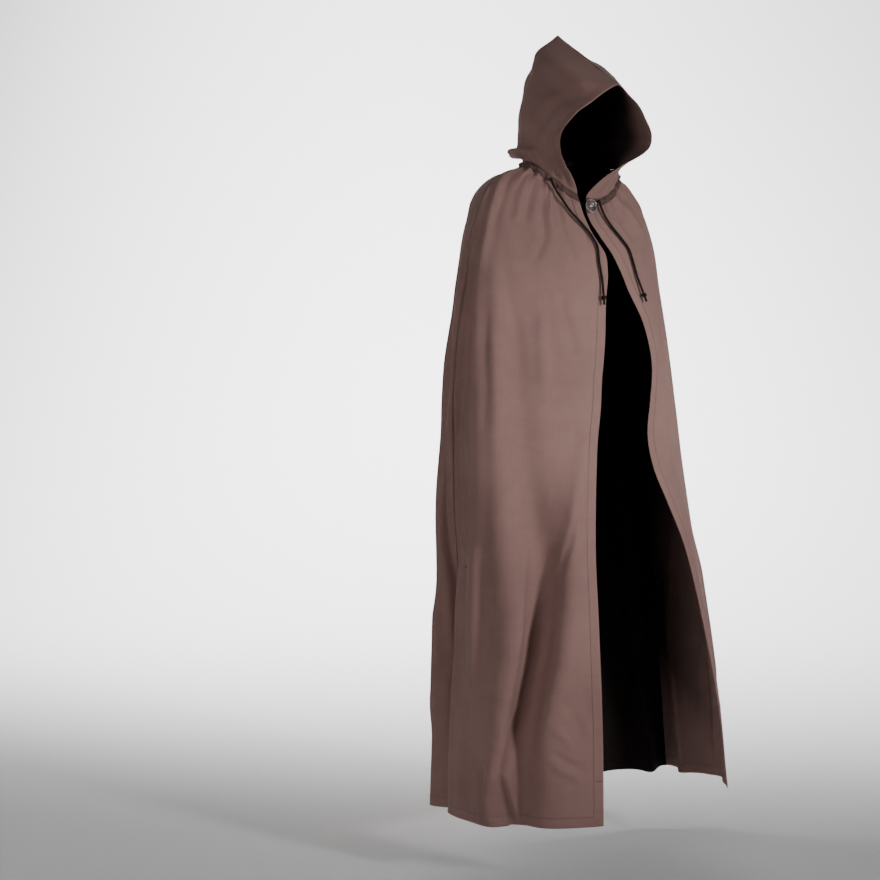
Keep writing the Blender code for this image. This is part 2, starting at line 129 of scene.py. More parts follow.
CLOTH = 0.0016
SEAM = 0.0003
CASING_DROP = 0.015
HEM_DOWN = 1.32
SHOULDER_TILT = 0.05
HEM_TILT = 0.03
BACK_SEAM_SWING = 5.0
STEP = 0.0002
GATHERS = 23
GATHER_OUT = 0.0045
GATHER_DOWN = 0.11
CASING_BELLY = 0.0035
HOOD_GATHER_OUT = 0.0022
HOOD_GATHER_UP = 0.25
CUTS = (0.0, 24 / 92, 46 / 92, 68 / 92, 1.0)

# The cloth stands on level rings. z_front, z_side and z_back are a ring's heights at the front,
# sides and back; right, left, front and back are its reach from the neck axis; square is the
# roundness of its plan, 2 for an oval. down is about the length of cloth below the neck seam.
Level = namedtuple("Level", "down z_front z_side z_back right left front back square")
BODY = (
    Level(-0.015, -0.030, 0.045, 0.055, 0.110, 0.106, 0.086, 0.080, 2.0),
    Level(0.000, -0.044, 0.032, 0.043, 0.117, 0.108, 0.090, 0.088, 2.0),
    Level(0.030, -0.074, 0.022, 0.030, 0.148, 0.122, 0.095, 0.110, 2.0),
    Level(0.065, -0.110, 0.004, 0.000, 0.181, 0.144, 0.100, 0.140, 2.1),
    Level(0.100, -0.144, -0.018, -0.032, 0.206, 0.166, 0.105, 0.160, 2.1),
    Level(0.140, -0.182, -0.046, -0.072, 0.222, 0.181, 0.109, 0.171, 2.1),
    Level(0.200, -0.238, -0.098, -0.130, 0.238, 0.200, 0.115, 0.178, 2.2),
    Level(0.300, -0.332, -0.205, -0.230, 0.254, 0.218, 0.126, 0.178, 2.3),
    Level(0.450, -0.470, -0.380, -0.395, 0.268, 0.244, 0.152, 0.172, 2.6),
    Level(0.650, -0.660, -0.608, -0.614, 0.272, 0.272, 0.186, 0.170, 2.9),
    Level(0.900, -0.905, -0.884, -0.890, 0.276, 0.314, 0.230, 0.168, 3.1),
    Level(1.120, -1.122, -1.120, -1.122, 0.279, 0.350, 0.260, 0.170, 3.3),
    Level(1.320, -1.320, -1.330, -1.336, 0.284, 0.372, 0.282, 0.172, 3.4),
)

# Where the two front edges lie, in degrees from the middle of the front to their own side.
Edge = namedtuple("Edge", "down right left")
EDGES = (
    Edge(-0.015, 18.5, -8.0),
    Edge(0.000, 16.0, -9.0),
    Edge(0.030, 9.0, -5.0),
    Edge(0.065, 1.0, 5.0),
    Edge(0.100, -7.0, 13.0),
    Edge(0.140, -8.0, 18.5),
    Edge(0.200, -5.0, 24.0),
    Edge(0.300, -2.0, 35.0),
    Edge(0.390, 2.0, 36.0),
    Edge(0.450, 4.0, 30.0),
    Edge(0.520, 7.0, 24.0),
    Edge(0.590, 9.0, 25.0),
    Edge(0.670, 11.0, 32.0),
    Edge(0.770, 13.0, 42.0),
    Edge(0.900, 14.0, 50.0),
    Edge(1.060, 15.0, 57.0),
    Edge(1.200, 16.0, 61.0),
    Edge(1.320, 17.0, 61.0),
)

# The largest folds. top and hem are where the fold starts and ends, in degrees round from the
# middle of the front by the wearer's right; it fades in between start and full, and fades out
# towards end. spread is half its width in degrees. out is how far it stands out, and lean how
# far it is pushed round, in metres.
Fold = namedtuple("Fold", "top hem start full end spread out lean")
FOLDS = (
    Fold(22, 55, 0.450, 1.200, 2.0, 9.0, -0.032, 0.000),
    Fold(34, 68, 0.450, 1.200, 2.0, 7.0, 0.018, -0.020),
    Fold(44, 40, 0.120, 0.500, 1.1, 8.0, -0.010, 0.000),
    Fold(60, 60, 0.100, 0.400, 1.0, 8.0, 0.010, 0.000),
    Fold(86, 106, 0.120, 0.900, 2.0, 7.5, -0.036, 0.000),
    Fold(100, 118, 0.160, 1.000, 2.0, 7.0, 0.020, -0.004),
    Fold(172, 138, 0.650, 1.150, 2.0, 8.0, 0.018, 0.008),
    Fold(184, 150, 0.600, 1.100, 2.0, 8.0, -0.018, 0.000),
    Fold(150, 165, 0.200, 0.700, 1.2, 10.0, 0.010, 0.000),
    Fold(206, 206, 0.350, 1.100, 2.0, 8.0, 0.012, 0.000),
    Fold(222, 226, 0.400, 1.150, 2.0, 8.0, -0.038, 0.000),
    Fold(234, 238, 0.300, 1.100, 2.0, 7.5, 0.018, -0.004),
    Fold(256, 260, 0.220, 1.100, 2.0, 8.0, -0.030, 0.000),
    Fold(274, 276, 0.260, 1.100, 2.0, 7.0, 0.014, 0.010),
)

# The hood's levels, from the casing up to the seam over the crown. edge_x, edge_y and edge_z
# place the edge round the face; side is the half width; back_y and back_z place the seam at
# the back; curve is how deep the rounded back is.
Hood = namedtuple("Hood", "up edge_x edge_y edge_z side back_y back_z curve")
HOOD = (
    Hood(0.00, 0.036, -0.081, -0.027, 0.108, 0.080, 0.056, 0.080),
    Hood(0.02, 0.038, -0.083, -0.019, 0.109, 0.082, 0.062, 0.080),
    Hood(0.06, 0.052, -0.092, 0.003, 0.113, 0.103, 0.065, 0.085),
    Hood(0.14, 0.080, -0.104, 0.036, 0.115, 0.127, 0.072, 0.090),
    Hood(0.24, 0.104, -0.128, 0.066, 0.105, 0.131, 0.088, 0.090),
    Hood(0.36, 0.110, -0.143, 0.102, 0.096, 0.124, 0.130, 0.088),
    Hood(0.50, 0.085, -0.155, 0.142, 0.090, 0.121, 0.184, 0.086),
    Hood(0.65, 0.055, -0.171, 0.166, 0.080, 0.114, 0.237, 0.082),
    Hood(0.80, 0.028, -0.176, 0.186, 0.066, 0.101, 0.282, 0.076),
    Hood(0.92, 0.012, -0.180, 0.196, 0.045, 0.083, 0.310, 0.060),
    Hood(1.00, 0.000, -0.183, 0.201, 0.000, 0.056, 0.328, 0.040),
)

# Rolls and hollows of the hood: a line from one place to another, each given as a part of the
# way round (0 at the right edge, 1 at the left edge) and up; spread is its half width up.
Roll = namedtuple("Roll", "from_round from_up to_round to_up spread out")
ROLLS = (
    Roll(0.22, 0.155, 0.50, 0.120, 0.060, 0.006),
    Roll(0.50, 0.120, 0.78, 0.160, 0.055, 0.007),
    Roll(0.20, 0.270, 0.50, 0.250, 0.055, -0.005),
    Roll(0.50, 0.250, 0.80, 0.280, 0.050, -0.007),
    Roll(0.06, 0.300, 0.30, 0.420, 0.070, 0.006),
    Roll(0.72, 0.400, 0.95, 0.300, 0.070, 0.006),
)

# Where each cord lies on the fronts, from its hole in the casing to the top of its knot: places
# round and down the cloth, and how far the cord's middle is lifted off the plain ring there.
Lay = namedtuple("Lay", "around down lift")
RIGHT_LAY = (
    Lay(0.0978, -0.0065, 0.0000),
    Lay(0.0900, 0.0080, 0.0110),
    Lay(0.0640, 0.0200, 0.0105),
    Lay(0.0430, 0.0320, 0.0090),
    Lay(0.0200, 0.0460, 0.0075),
    Lay(0.0100, 0.0650, 0.0070),
    Lay(0.0130, 0.0850, 0.0065),
    Lay(0.0212, 0.1200, 0.0060),
    Lay(0.0150, 0.1600, 0.0065),
    Lay(0.0100, 0.1950, 0.0090),
)
LEFT_LAY = (
    Lay(0.9640, -0.0076, 0.0000),
    Lay(0.9600, 0.0040, 0.0095),
    Lay(0.9562, 0.0220, 0.0080),
    Lay(0.9541, 0.0459, 0.0070),
    Lay(0.9550, 0.0815, 0.0065),
    Lay(0.9560, 0.1112, 0.0060),
    Lay(0.9614, 0.1400, 0.0060),
    Lay(0.9687, 0.1795, 0.0065),
    Lay(0.9740, 0.2200, 0.0090),
)


def column(rows, key, name, at):
    """One column of a table, read on a smooth curve at any place between its rows."""
    place = np.array([getattr(row, key) for row in rows])
    value = np.array([getattr(row, name) for row in rows])
    slope = np.gradient(value, place)
    index = np.clip(np.searchsorted(place, at) - 1, 0, len(rows) - 2)
    span = place[index + 1] - place[index]
    t = (at - place[index]) / span
    start = (1 + 2 * t) * (1 - t) ** 2 * value[index] + t * (1 - t) ** 2 * span * slope[index]
    end = t * t * (3 - 2 * t) * value[index + 1] + t * t * (t - 1) * span * slope[index + 1]
    return start + end


def smooth(low, high, at):
    t = np.clip((at - low) / (high - low), 0.0, 1.0)
    return t * t * (3 - 2 * t)


def unit(vectors):
    return vectors / np.maximum(np.linalg.norm(vectors, axis=-1, keepdims=True), 1e-12)


def turn_at(around, down):
    """Degrees round from the middle of the front, by the wearer's right."""
    right = column(EDGES, "down", "right", down)
    left = 360 - column(EDGES, "down", "left", down)
    back = 180 + BACK_SEAM_SWING * np.maximum(down, 0) / HEM_DOWN
    share = 2 * around
    return np.where(around < 0.5, right + (back - right) * share, back + (left - back) * (share - 1))


def level_ring(around, down):
    """The body's cloth before its folds."""
    turn = np.radians(turn_at(around, down))
    side = np.sin(turn)
    fore = np.cos(turn)
    power = 2 / column(BODY, "down", "square", down)
    wide = np.where(side > 0, column(BODY, "down", "right", down), column(BODY, "down", "left", down))
    deep = np.where(fore > 0, column(BODY, "down", "front", down), column(BODY, "down", "back", down))
    end_z = np.where(fore > 0, column(BODY, "down", "z_front", down), column(BODY, "down", "z_back", down))
    side_z = column(BODY, "down", "z_side", down)
    power = np.where(fore > 0, 1.0, power)
    drop = np.where(fore > 0, 2.0 - 0.6 * smooth(0.0, 0.1, down), 2.0)
    x = -wide * np.sign(side) * np.abs(side) ** power
    y = -deep * np.sign(fore) * np.abs(fore) ** power
    z = side_z + (end_z - side_z) * np.abs(fore) ** drop
    z = z - SHOULDER_TILT * x * (1 - smooth(0.1, 0.4, down)) + HEM_TILT * x * smooth(0.5, 1.3, down)
    return np.stack([x, y, z], axis=-1)


def normal_of(surface, a, b):
    """The normal of a surface of two numbers, and its direction along the first."""
    along = surface(a + STEP, b) - surface(a - STEP, b)
    down = surface(a, b + STEP) - surface(a, b - STEP)
    return unit(np.cross(along, down)), unit(along)


def gather_wave(around, reach):
    """Uneven gathers: 1 on a crest, -1 in a hollow, fading out as reach goes from 0 to 1."""
    uneven = 0.75 + 0.25 * np.sin(around * 37.0 + 1.0)
    short = 0.7 + 0.3 * np.sin(around * 53.0)
    inside = smooth(0.0, 0.07, around) * smooth(0.0, 0.07, 1 - around)
    wave = np.sin(2 * np.pi * GATHERS * around) * uneven * inside
    return wave * (1 - smooth(0.0, 1.0, reach / short))


def folds_at(around, down):
    """How far the folds move the cloth out and round."""
    turn = turn_at(around, down)
    out = GATHER_OUT * gather_wave(around, np.maximum(down, 0) / GATHER_DOWN)
    out = out * (0.4 + 0.6 * smooth(-CASING_DROP, 0.01, down))
    lean = np.zeros_like(out)
    for fold in FOLDS:
        middle = fold.top + (fold.hem - fold.top) * smooth(fold.start, HEM_DOWN, down)
        grown = smooth(fold.start, fold.full, down) * (1 - smooth(fold.end - 0.2, fold.end, down))
        bump = grown * np.exp(-(((turn - middle) / fold.spread) ** 2))
        out = out + fold.out * bump
        lean = lean + fold.lean * bump
    return out, lean


def body_cloth(around, down):
    """The middle of the body's cloth: around 0 is the right front's edge, 1 the left front's."""
    normal, along = normal_of(level_ring, around, down)
    out, lean = folds_at(around, down)
    belly = CASING_BELLY * np.sin(np.pi * np.clip((down + CASING_DROP) / CASING_DROP, 0, 1)) ** 2
    belly = belly * smooth(0.0, 0.06, around) * smooth(0.0, 0.06, 1 - around)
    return level_ring(around, down) + normal * (out + belly)[..., None] + along * lean[..., None]


def hood_section(around, up):
    """The hood before its rolls, each level a rounded back and two cheeks running forward."""
    side = column(HOOD, "up", "side", up)
    curve = column(HOOD, "up", "curve", up)
    back_y = column(HOOD, "up", "back_y", up)
    back_z = column(HOOD, "up", "back_z", up)
    edge_x = column(HOOD, "up", "edge_x", up)
    edge_y = column(HOOD, "up", "edge_y", up)
    edge_z = column(HOOD, "up", "edge_z", up)
    hand = np.where(around < 0.5, -1.0, 1.0)
    forward = np.abs(2 * around - 1)
    arc = 1.571 * np.sqrt((side**2 + curve**2) / 2)
    cheek = back_y - curve - edge_y
    share = arc / (arc + cheek)
    angle = np.minimum(forward / share, 1) * np.pi / 2
    ahead = np.clip((forward - share) / (1 - share), 0, 1)
    x = side * np.sin(angle) + (edge_x - side) * ahead**2
    y = back_y - curve * (1 - np.cos(angle)) - cheek * ahead
    z = back_z + (edge_z - back_z) * (back_y - y) / (back_y - edge_y)
    return np.stack([hand * x, y, z], axis=-1)


def rolls_at(around, up):
    out = np.zeros_like(around + up)
    for roll in ROLLS:
        part = np.clip((around - roll.from_round) / (roll.to_round - roll.from_round), 0, 1)
        line = roll.from_up + (roll.to_up - roll.from_up) * part
        past = np.abs(around - (roll.from_round + (roll.to_round - roll.from_round) * part))
        out = out + roll.out * np.exp(-(((up - line) / roll.spread) ** 2) - (past / 0.05) ** 2)
    return out


def hood_cloth(around, up):
    """The middle of the hood's cloth: up 0 is on the casing, 1 on the seam over the crown."""
    normal, _ = normal_of(hood_section, around, up)
    out = rolls_at(around, up) * smooth(0.0, 0.12, up) * (1 - smooth(0.8, 1.0, up))
    out = out + HOOD_GATHER_OUT * gather_wave(around, up / HOOD_GATHER_UP) * smooth(0.0, 0.06, up)
    own = hood_section(around, up) - normal * out[..., None]
    edge = np.full_like(up, -CASING_DROP - SEAM)
    ring = level_ring(around, edge)
    gathers = body_cloth(around, edge) - ring
    start = hood_section(around, np.zeros_like(up))
    own = own + (ring - start) * (1 - smooth(0.0, 0.3, up))[..., None]
    return own + gathers * (1 - smooth(0.0, 0.05, up))[..., None]


# Creases and small gathers.
# Soft troughs and ridges that the photo shows, each along its own line on the cloth: deep is
# how far it stands out, negative for a trough, wide its half width, and path its places round
# and down. On the sides that the photo doesn't show, they are of the same kind.

EASED_OUT = 0.0020
SMALL_GATHER_OUT = 0.0018
SMALL_GATHER_DOWN = 0.08
RUFFLE_OUT = 0.0020
HOOD_SMALL_OUT = 0.0014
HOOD_SMALL_UP = 0.16
HOOD_WAVE_OUT = 0.0010
LINE_POINTS = 48

Crease = namedtuple("Crease", "deep wide path")
BODY_CREASES = (
    Crease(-0.0038, 0.009, ((0.142, 0.004), (0.141, 0.064), (0.151, 0.110))),
    Crease(-0.0022, 0.009, ((0.175, 0.004), (0.178, 0.084), (0.179, 0.135))),
    Crease(0.0020, 0.011, ((0.160, 0.004), (0.164, 0.070), (0.170, 0.130))),
    Crease(-0.0040, 0.010, ((0.212, 0.004), (0.209, 0.114), (0.208, 0.190))),
    Crease(0.0060, 0.010, ((0.228, 0.030), (0.218, 0.108), (0.212, 0.200), (0.210, 0.280))),
    Crease(-0.0040, 0.009, ((0.105, 0.004), (0.110, 0.077), (0.117, 0.133), (0.124, 0.185))),
    Crease(0.0022, 0.011, ((0.096, 0.004), (0.092, 0.077), (0.094, 0.140))),
    Crease(-0.0026, 0.009, ((0.087, 0.004), (0.071, 0.059), (0.069, 0.095), (0.055, 0.145))),
    Crease(-0.0034, 0.012, ((0.072, 0.178), (0.067, 0.243), (0.050, 0.298), (0.038, 0.360))),
    Crease(-0.0028, 0.014, ((0.187, 0.140), (0.159, 0.246), (0.131, 0.335), (0.112, 0.440))),
    Crease(-0.0210, 0.034, ((0.098, 0.560), (0.091, 0.700), (0.086, 0.830), (0.088, 0.940), (0.100, 1.050),
                            (0.116, 1.150), (0.130, 1.260))),
    Crease(0.0120, 0.030, ((0.040, 0.500), (0.032, 0.640), (0.030, 0.776), (0.036, 0.900), (0.054, 1.024),
                           (0.076, 1.130), (0.094, 1.210))),
    Crease(-0.0080, 0.007, ((0.167, 1.190), (0.165, 1.255), (0.160, 1.325))),
    Crease(-0.0100, 0.018, ((0.236, 0.330), (0.222, 0.500), (0.223, 0.700), (0.220, 0.900), (0.216, 1.080),
                            (0.206, 1.270))),
    Crease(0.0045, 0.020, ((0.186, 0.400), (0.178, 0.572), (0.176, 0.763), (0.184, 0.958), (0.185, 1.115))),
    Crease(-0.0030, 0.007, ((0.020, 0.600), (0.029, 0.704), (0.040, 0.772), (0.055, 0.839))),
    Crease(-0.0022, 0.011, ((0.050, 0.820), (0.078, 0.922), (0.096, 1.024), (0.109, 1.099))),
    Crease(0.0030, 0.016, ((0.044, 0.880), (0.066, 0.960), (0.082, 1.040), (0.096, 1.120))),
    Crease(-0.0070, 0.010, ((0.108, 1.080), (0.128, 1.163), (0.140, 1.240))),
    Crease(-0.0120, 0.0075, ((0.141, 1.205), (0.133, 1.265), (0.121, 1.335))),
    Crease(0.0060, 0.014, ((0.150, 1.160), (0.156, 1.240), (0.158, 1.330))),
    Crease(-0.0035, 0.008, ((0.068, 1.160), (0.047, 1.187), (0.030, 1.197), (0.014, 1.190))),
    Crease(0.0028, 0.010, ((0.066, 1.186), (0.044, 1.209), (0.024, 1.222))),
    Crease(-0.0018, 0.009, ((0.070, 1.041), (0.051, 1.065), (0.034, 1.105), (0.024, 1.160))),
    Crease(0.0030, 0.009, ((0.066, 1.115), (0.050, 1.135), (0.036, 1.170))),
    Crease(0.0035, 0.012, ((0.101, 0.230), (0.086, 0.364), (0.075, 0.460))),
    Crease(-0.0020, 0.013, ((0.191, 0.300), (0.172, 0.413), (0.165, 0.560))),
    Crease(0.0022, 0.015, ((0.176, 0.320), (0.152, 0.450), (0.146, 0.620))),
    Crease(-0.0100, 0.016, ((0.262, 0.230), (0.244, 0.334), (0.236, 0.430), (0.248, 0.540))),
    Crease(-0.0060, 0.018, ((0.246, 0.480), (0.252, 0.620), (0.258, 0.760))),
    Crease(-0.0055, 0.016, ((0.200, 1.020), (0.196, 1.150), (0.194, 1.330))),
    Crease(0.0050, 0.015, ((0.219, 0.900), (0.216, 1.080), (0.214, 1.250))),
    Crease(0.0050, 0.016, ((0.012, 0.480), (0.022, 0.640), (0.030, 0.780))),
    Crease(-0.0090, 0.007, ((0.386, 0.018), (0.392, 0.060), (0.398, 0.105), (0.404, 0.150))),
    Crease(-0.0075, 0.006, ((0.424, 0.018), (0.420, 0.070), (0.418, 0.110), (0.403, 0.145))),
    Crease(-0.0075, 0.006, ((0.362, 0.018), (0.358, 0.080), (0.354, 0.122), (0.344, 0.155))),
    Crease(-0.0065, 0.007, ((0.334, 0.020), (0.328, 0.090), (0.323, 0.144), (0.316, 0.190))),
    Crease(-0.0060, 0.006, ((0.450, 0.018), (0.452, 0.080), (0.456, 0.108), (0.465, 0.135))),
    Crease(0.0050, 0.008, ((0.374, 0.018), (0.376, 0.080), (0.374, 0.140))),
    Crease(0.0050, 0.008, ((0.408, 0.018), (0.410, 0.070), (0.412, 0.110))),
    Crease(0.0045, 0.008, ((0.438, 0.018), (0.440, 0.060), (0.444, 0.100))),
    Crease(0.0040, 0.009, ((0.347, 0.020), (0.342, 0.090), (0.334, 0.170))),
    Crease(0.0080, 0.016, ((0.378, 0.200), (0.404, 0.276), (0.430, 0.330), (0.458, 0.395))),
    Crease(-0.0075, 0.013, ((0.372, 0.240), (0.390, 0.304), (0.412, 0.360))),
    Crease(-0.0080, 0.018, ((0.332, 0.300), (0.328, 0.505), (0.322, 0.686), (0.324, 0.790))),
    Crease(0.0090, 0.018, ((0.312, 0.330), (0.306, 0.505), (0.300, 0.686), (0.304, 0.860))),
    Crease(-0.0100, 0.022, ((0.326, 0.760), (0.318, 0.869), (0.318, 1.000), (0.326, 1.200))),
    Crease(0.0080, 0.020, ((0.300, 0.860), (0.298, 1.020), (0.306, 1.180))),
    Crease(-0.0090, 0.012, ((0.297, 0.240), (0.294, 0.334), (0.289, 0.430), (0.281, 0.600))),
    Crease(-0.0080, 0.012, ((0.256, 0.250), (0.252, 0.386), (0.250, 0.509), (0.258, 0.640))),
    Crease(-0.0130, 0.013, ((0.278, 0.560), (0.272, 0.723), (0.262, 0.876), (0.258, 1.045))),
    Crease(-0.0120, 0.014, ((0.258, 1.000), (0.252, 1.139), (0.246, 1.240), (0.240, 1.330))),
    Crease(-0.0040, 0.009, ((0.228, 0.727), (0.221, 0.782), (0.225, 0.857), (0.232, 0.960))),
    Crease(0.0060, 0.018, ((0.185, 0.740), (0.181, 0.916), (0.182, 1.100))),
    Crease(-0.0035, 0.006, ((0.251, 0.262), (0.244, 0.303), (0.236, 0.345))),
    Crease(-0.0055, 0.007, ((0.496, 0.778), (0.458, 0.752), (0.413, 0.731), (0.372, 0.716))),
    Crease(0.0045, 0.010, ((0.490, 0.800), (0.455, 0.775), (0.415, 0.752))),
    Crease(-0.0065, 0.009, ((0.495, 0.780), (0.488, 0.842), (0.478, 0.904), (0.464, 0.960))),
    Crease(-0.0085, 0.011, ((0.468, 0.940), (0.450, 1.030), (0.434, 1.100), (0.423, 1.179))),
    Crease(0.0065, 0.014, ((0.484, 0.980), (0.468, 1.060), (0.452, 1.150))),
    Crease(-0.0080, 0.012, ((0.424, 1.160), (0.417, 1.240), (0.412, 1.330))),
    Crease(-0.0045, 0.020, ((0.424, 0.380), (0.434, 0.537), (0.439, 0.700))),
    Crease(0.0045, 0.022, ((0.367, 0.360), (0.364, 0.539), (0.365, 0.720))),
    Crease(-0.0050, 0.018, ((0.366, 0.869), (0.359, 1.039), (0.350, 1.230))),
    Crease(-0.0075, 0.007, ((0.540, 0.018), (0.536, 0.070), (0.528, 0.130))),
    Crease(-0.0070, 0.006, ((0.574, 0.018), (0.578, 0.080), (0.590, 0.140))),
    Crease(0.0050, 0.008, ((0.557, 0.018), (0.556, 0.075), (0.560, 0.130))),
    Crease(-0.0080, 0.007, ((0.612, 0.018), (0.616, 0.090), (0.610, 0.160))),
    Crease(0.0045, 0.009, ((0.592, 0.018), (0.598, 0.080), (0.604, 0.150))),
    Crease(-0.0060, 0.007, ((0.652, 0.020), (0.662, 0.090), (0.670, 0.180))),
    Crease(0.0065, 0.016, ((0.620, 0.200), (0.596, 0.290), (0.574, 0.390))),
    Crease(-0.0065, 0.014, ((0.640, 0.230), (0.622, 0.320), (0.606, 0.440))),
    Crease(-0.0080, 0.020, ((0.560, 0.420), (0.556, 0.650), (0.566, 0.900))),
    Crease(0.0070, 0.020, ((0.590, 0.400), (0.592, 0.640), (0.598, 0.860))),
    Crease(-0.0090, 0.016, ((0.664, 0.320), (0.668, 0.560), (0.660, 0.820), (0.656, 1.080))),
    Crease(0.0080, 0.018, ((0.690, 0.420), (0.692, 0.680), (0.688, 0.940))),
    Crease(-0.0080, 0.014, ((0.552, 0.860), (0.544, 1.020), (0.548, 1.180), (0.556, 1.330))),
    Crease(-0.0060, 0.008, ((0.610, 0.850), (0.586, 0.872), (0.560, 0.862))),
    Crease(0.0060, 0.016, ((0.630, 0.880), (0.628, 1.060), (0.632, 1.260))),
    Crease(-0.0065, 0.008, ((0.700, 0.020), (0.706, 0.080), (0.716, 0.160))),
    Crease(-0.0060, 0.008, ((0.744, 0.020), (0.752, 0.080), (0.750, 0.150))),
    Crease(0.0050, 0.009, ((0.722, 0.018), (0.730, 0.080), (0.736, 0.150))),
    Crease(-0.0055, 0.008, ((0.796, 0.020), (0.806, 0.070), (0.822, 0.120))),
    Crease(-0.0060, 0.008, ((0.846, 0.020), (0.856, 0.065), (0.868, 0.120))),
    Crease(0.0045, 0.010, ((0.872, 0.020), (0.880, 0.070), (0.890, 0.130))),
    Crease(-0.0055, 0.008, ((0.908, 0.022), (0.914, 0.060), (0.924, 0.110))),
    Crease(-0.0060, 0.014, ((0.780, 0.200), (0.790, 0.360), (0.800, 0.520))),
    Crease(-0.0080, 0.016, ((0.752, 0.500), (0.756, 0.720), (0.748, 0.960), (0.744, 1.240))),
    Crease(0.0065, 0.018, ((0.776, 0.620), (0.782, 0.860), (0.780, 1.120))),
    Crease(-0.0060, 0.012, ((0.812, 0.660), (0.818, 0.860), (0.812, 1.060), (0.820, 1.300))),
    Crease(-0.0045, 0.010, ((0.930, 0.300), (0.944, 0.352), (0.962, 0.392), (0.984, 0.412))),
    Crease(-0.0070, 0.015, ((0.900, 0.820), (0.894, 0.980), (0.896, 1.180), (0.890, 1.330))),
    Crease(0.0070, 0.017, ((0.928, 0.760), (0.924, 0.950), (0.926, 1.160))),
    Crease(-0.0065, 0.012, ((0.956, 0.900), (0.952, 1.040), (0.958, 1.180), (0.954, 1.320))),
    Crease(-0.0040, 0.008, ((0.972, 1.120), (0.950, 1.150), (0.926, 1.144))),
    Crease(0.0040, 0.010, ((0.860, 0.900), (0.858, 1.060), (0.864, 1.220))),
)
HOOD_CREASES = (
    Crease(-0.0035, 0.014, ((0.520, 0.182), (0.450, 0.178), (0.405, 0.181), (0.331, 0.196), (0.240, 0.250))),
    Crease(0.0020, 0.014, ((0.500, 0.145), (0.420, 0.140), (0.350, 0.150), (0.310, 0.165))),
    Crease(-0.0060, 0.007, ((0.349, 0.165), (0.313, 0.128), (0.270, 0.095), (0.225, 0.070))),
    Crease(0.0050, 0.009, ((0.330, 0.195), (0.288, 0.165), (0.240, 0.140), (0.190, 0.125))),
    Crease(-0.0035, 0.005, ((0.480, 0.104), (0.420, 0.100), (0.360, 0.092))),
    Crease(-0.0035, 0.005, ((0.470, 0.062), (0.400, 0.066), (0.340, 0.058))),
    Crease(-0.0030, 0.014, ((0.480, 0.182), (0.550, 0.178), (0.600, 0.185), (0.670, 0.200), (0.750, 0.250))),
    Crease(-0.0050, 0.007, ((0.650, 0.165), (0.690, 0.130), (0.735, 0.095), (0.780, 0.072))),
    Crease(0.0020, 0.014, ((0.505, 0.145), (0.580, 0.140), (0.660, 0.160), (0.740, 0.150))),
    Crease(-0.0035, 0.005, ((0.520, 0.104), (0.590, 0.098), (0.650, 0.088))),
    Crease(-0.0050, 0.022, ((0.300, 0.776), (0.190, 0.700), (0.090, 0.640), (0.030, 0.600))),
    Crease(0.0055, 0.020, ((0.320, 0.880), (0.190, 0.820), (0.090, 0.780), (0.030, 0.760))),
    Crease(-0.0045, 0.018, ((0.198, 0.237), (0.160, 0.380), (0.130, 0.520), (0.110, 0.600))),
    Crease(0.0045, 0.016, ((0.140, 0.220), (0.100, 0.350), (0.080, 0.480))),
    Crease(-0.0040, 0.014, ((0.440, 0.780), (0.381, 0.740), (0.325, 0.656))),
    Crease(-0.0045, 0.012, ((0.500, 0.430), (0.470, 0.415), (0.430, 0.430))),
    Crease(-0.0045, 0.020, ((0.700, 0.776), (0.800, 0.690), (0.900, 0.630))),
    Crease(0.0045, 0.020, ((0.690, 0.880), (0.800, 0.820), (0.910, 0.770))),
    Crease(-0.0045, 0.018, ((0.800, 0.240), (0.840, 0.380), (0.870, 0.520))),
    Crease(-0.0050, 0.008, ((0.080, 0.080), (0.052, 0.110), (0.030, 0.160))),
    Crease(-0.0045, 0.008, ((0.920, 0.080), (0.948, 0.110), (0.970, 0.160))),
)


def smooth_line(surface, path, count):
    """Points on a surface, along a smooth curve through the places of a path."""
    path = np.array(path)
    rise = np.concatenate([[0], np.cumsum(np.linalg.norm(np.diff(path, axis=0), axis=1))])
    slope = np.gradient(path, rise, axis=0)
    at = np.linspace(0, rise[-1], count)
    index = np.clip(np.searchsorted(rise, at) - 1, 0, len(rise) - 2)
    span = (rise[index + 1] - rise[index])[:, None]
    t = (at[:, None] - rise[index][:, None]) / span
    start = (1 + 2 * t) * (1 - t) ** 2 * path[index] + t * (1 - t) ** 2 * span * slope[index]
    end = t * t * (3 - 2 * t) * path[index + 1] + t * t * (t - 1) * span * slope[index + 1]
    place = start + end
    return place[:, 0], surface(place[:, 0], place[:, 1])


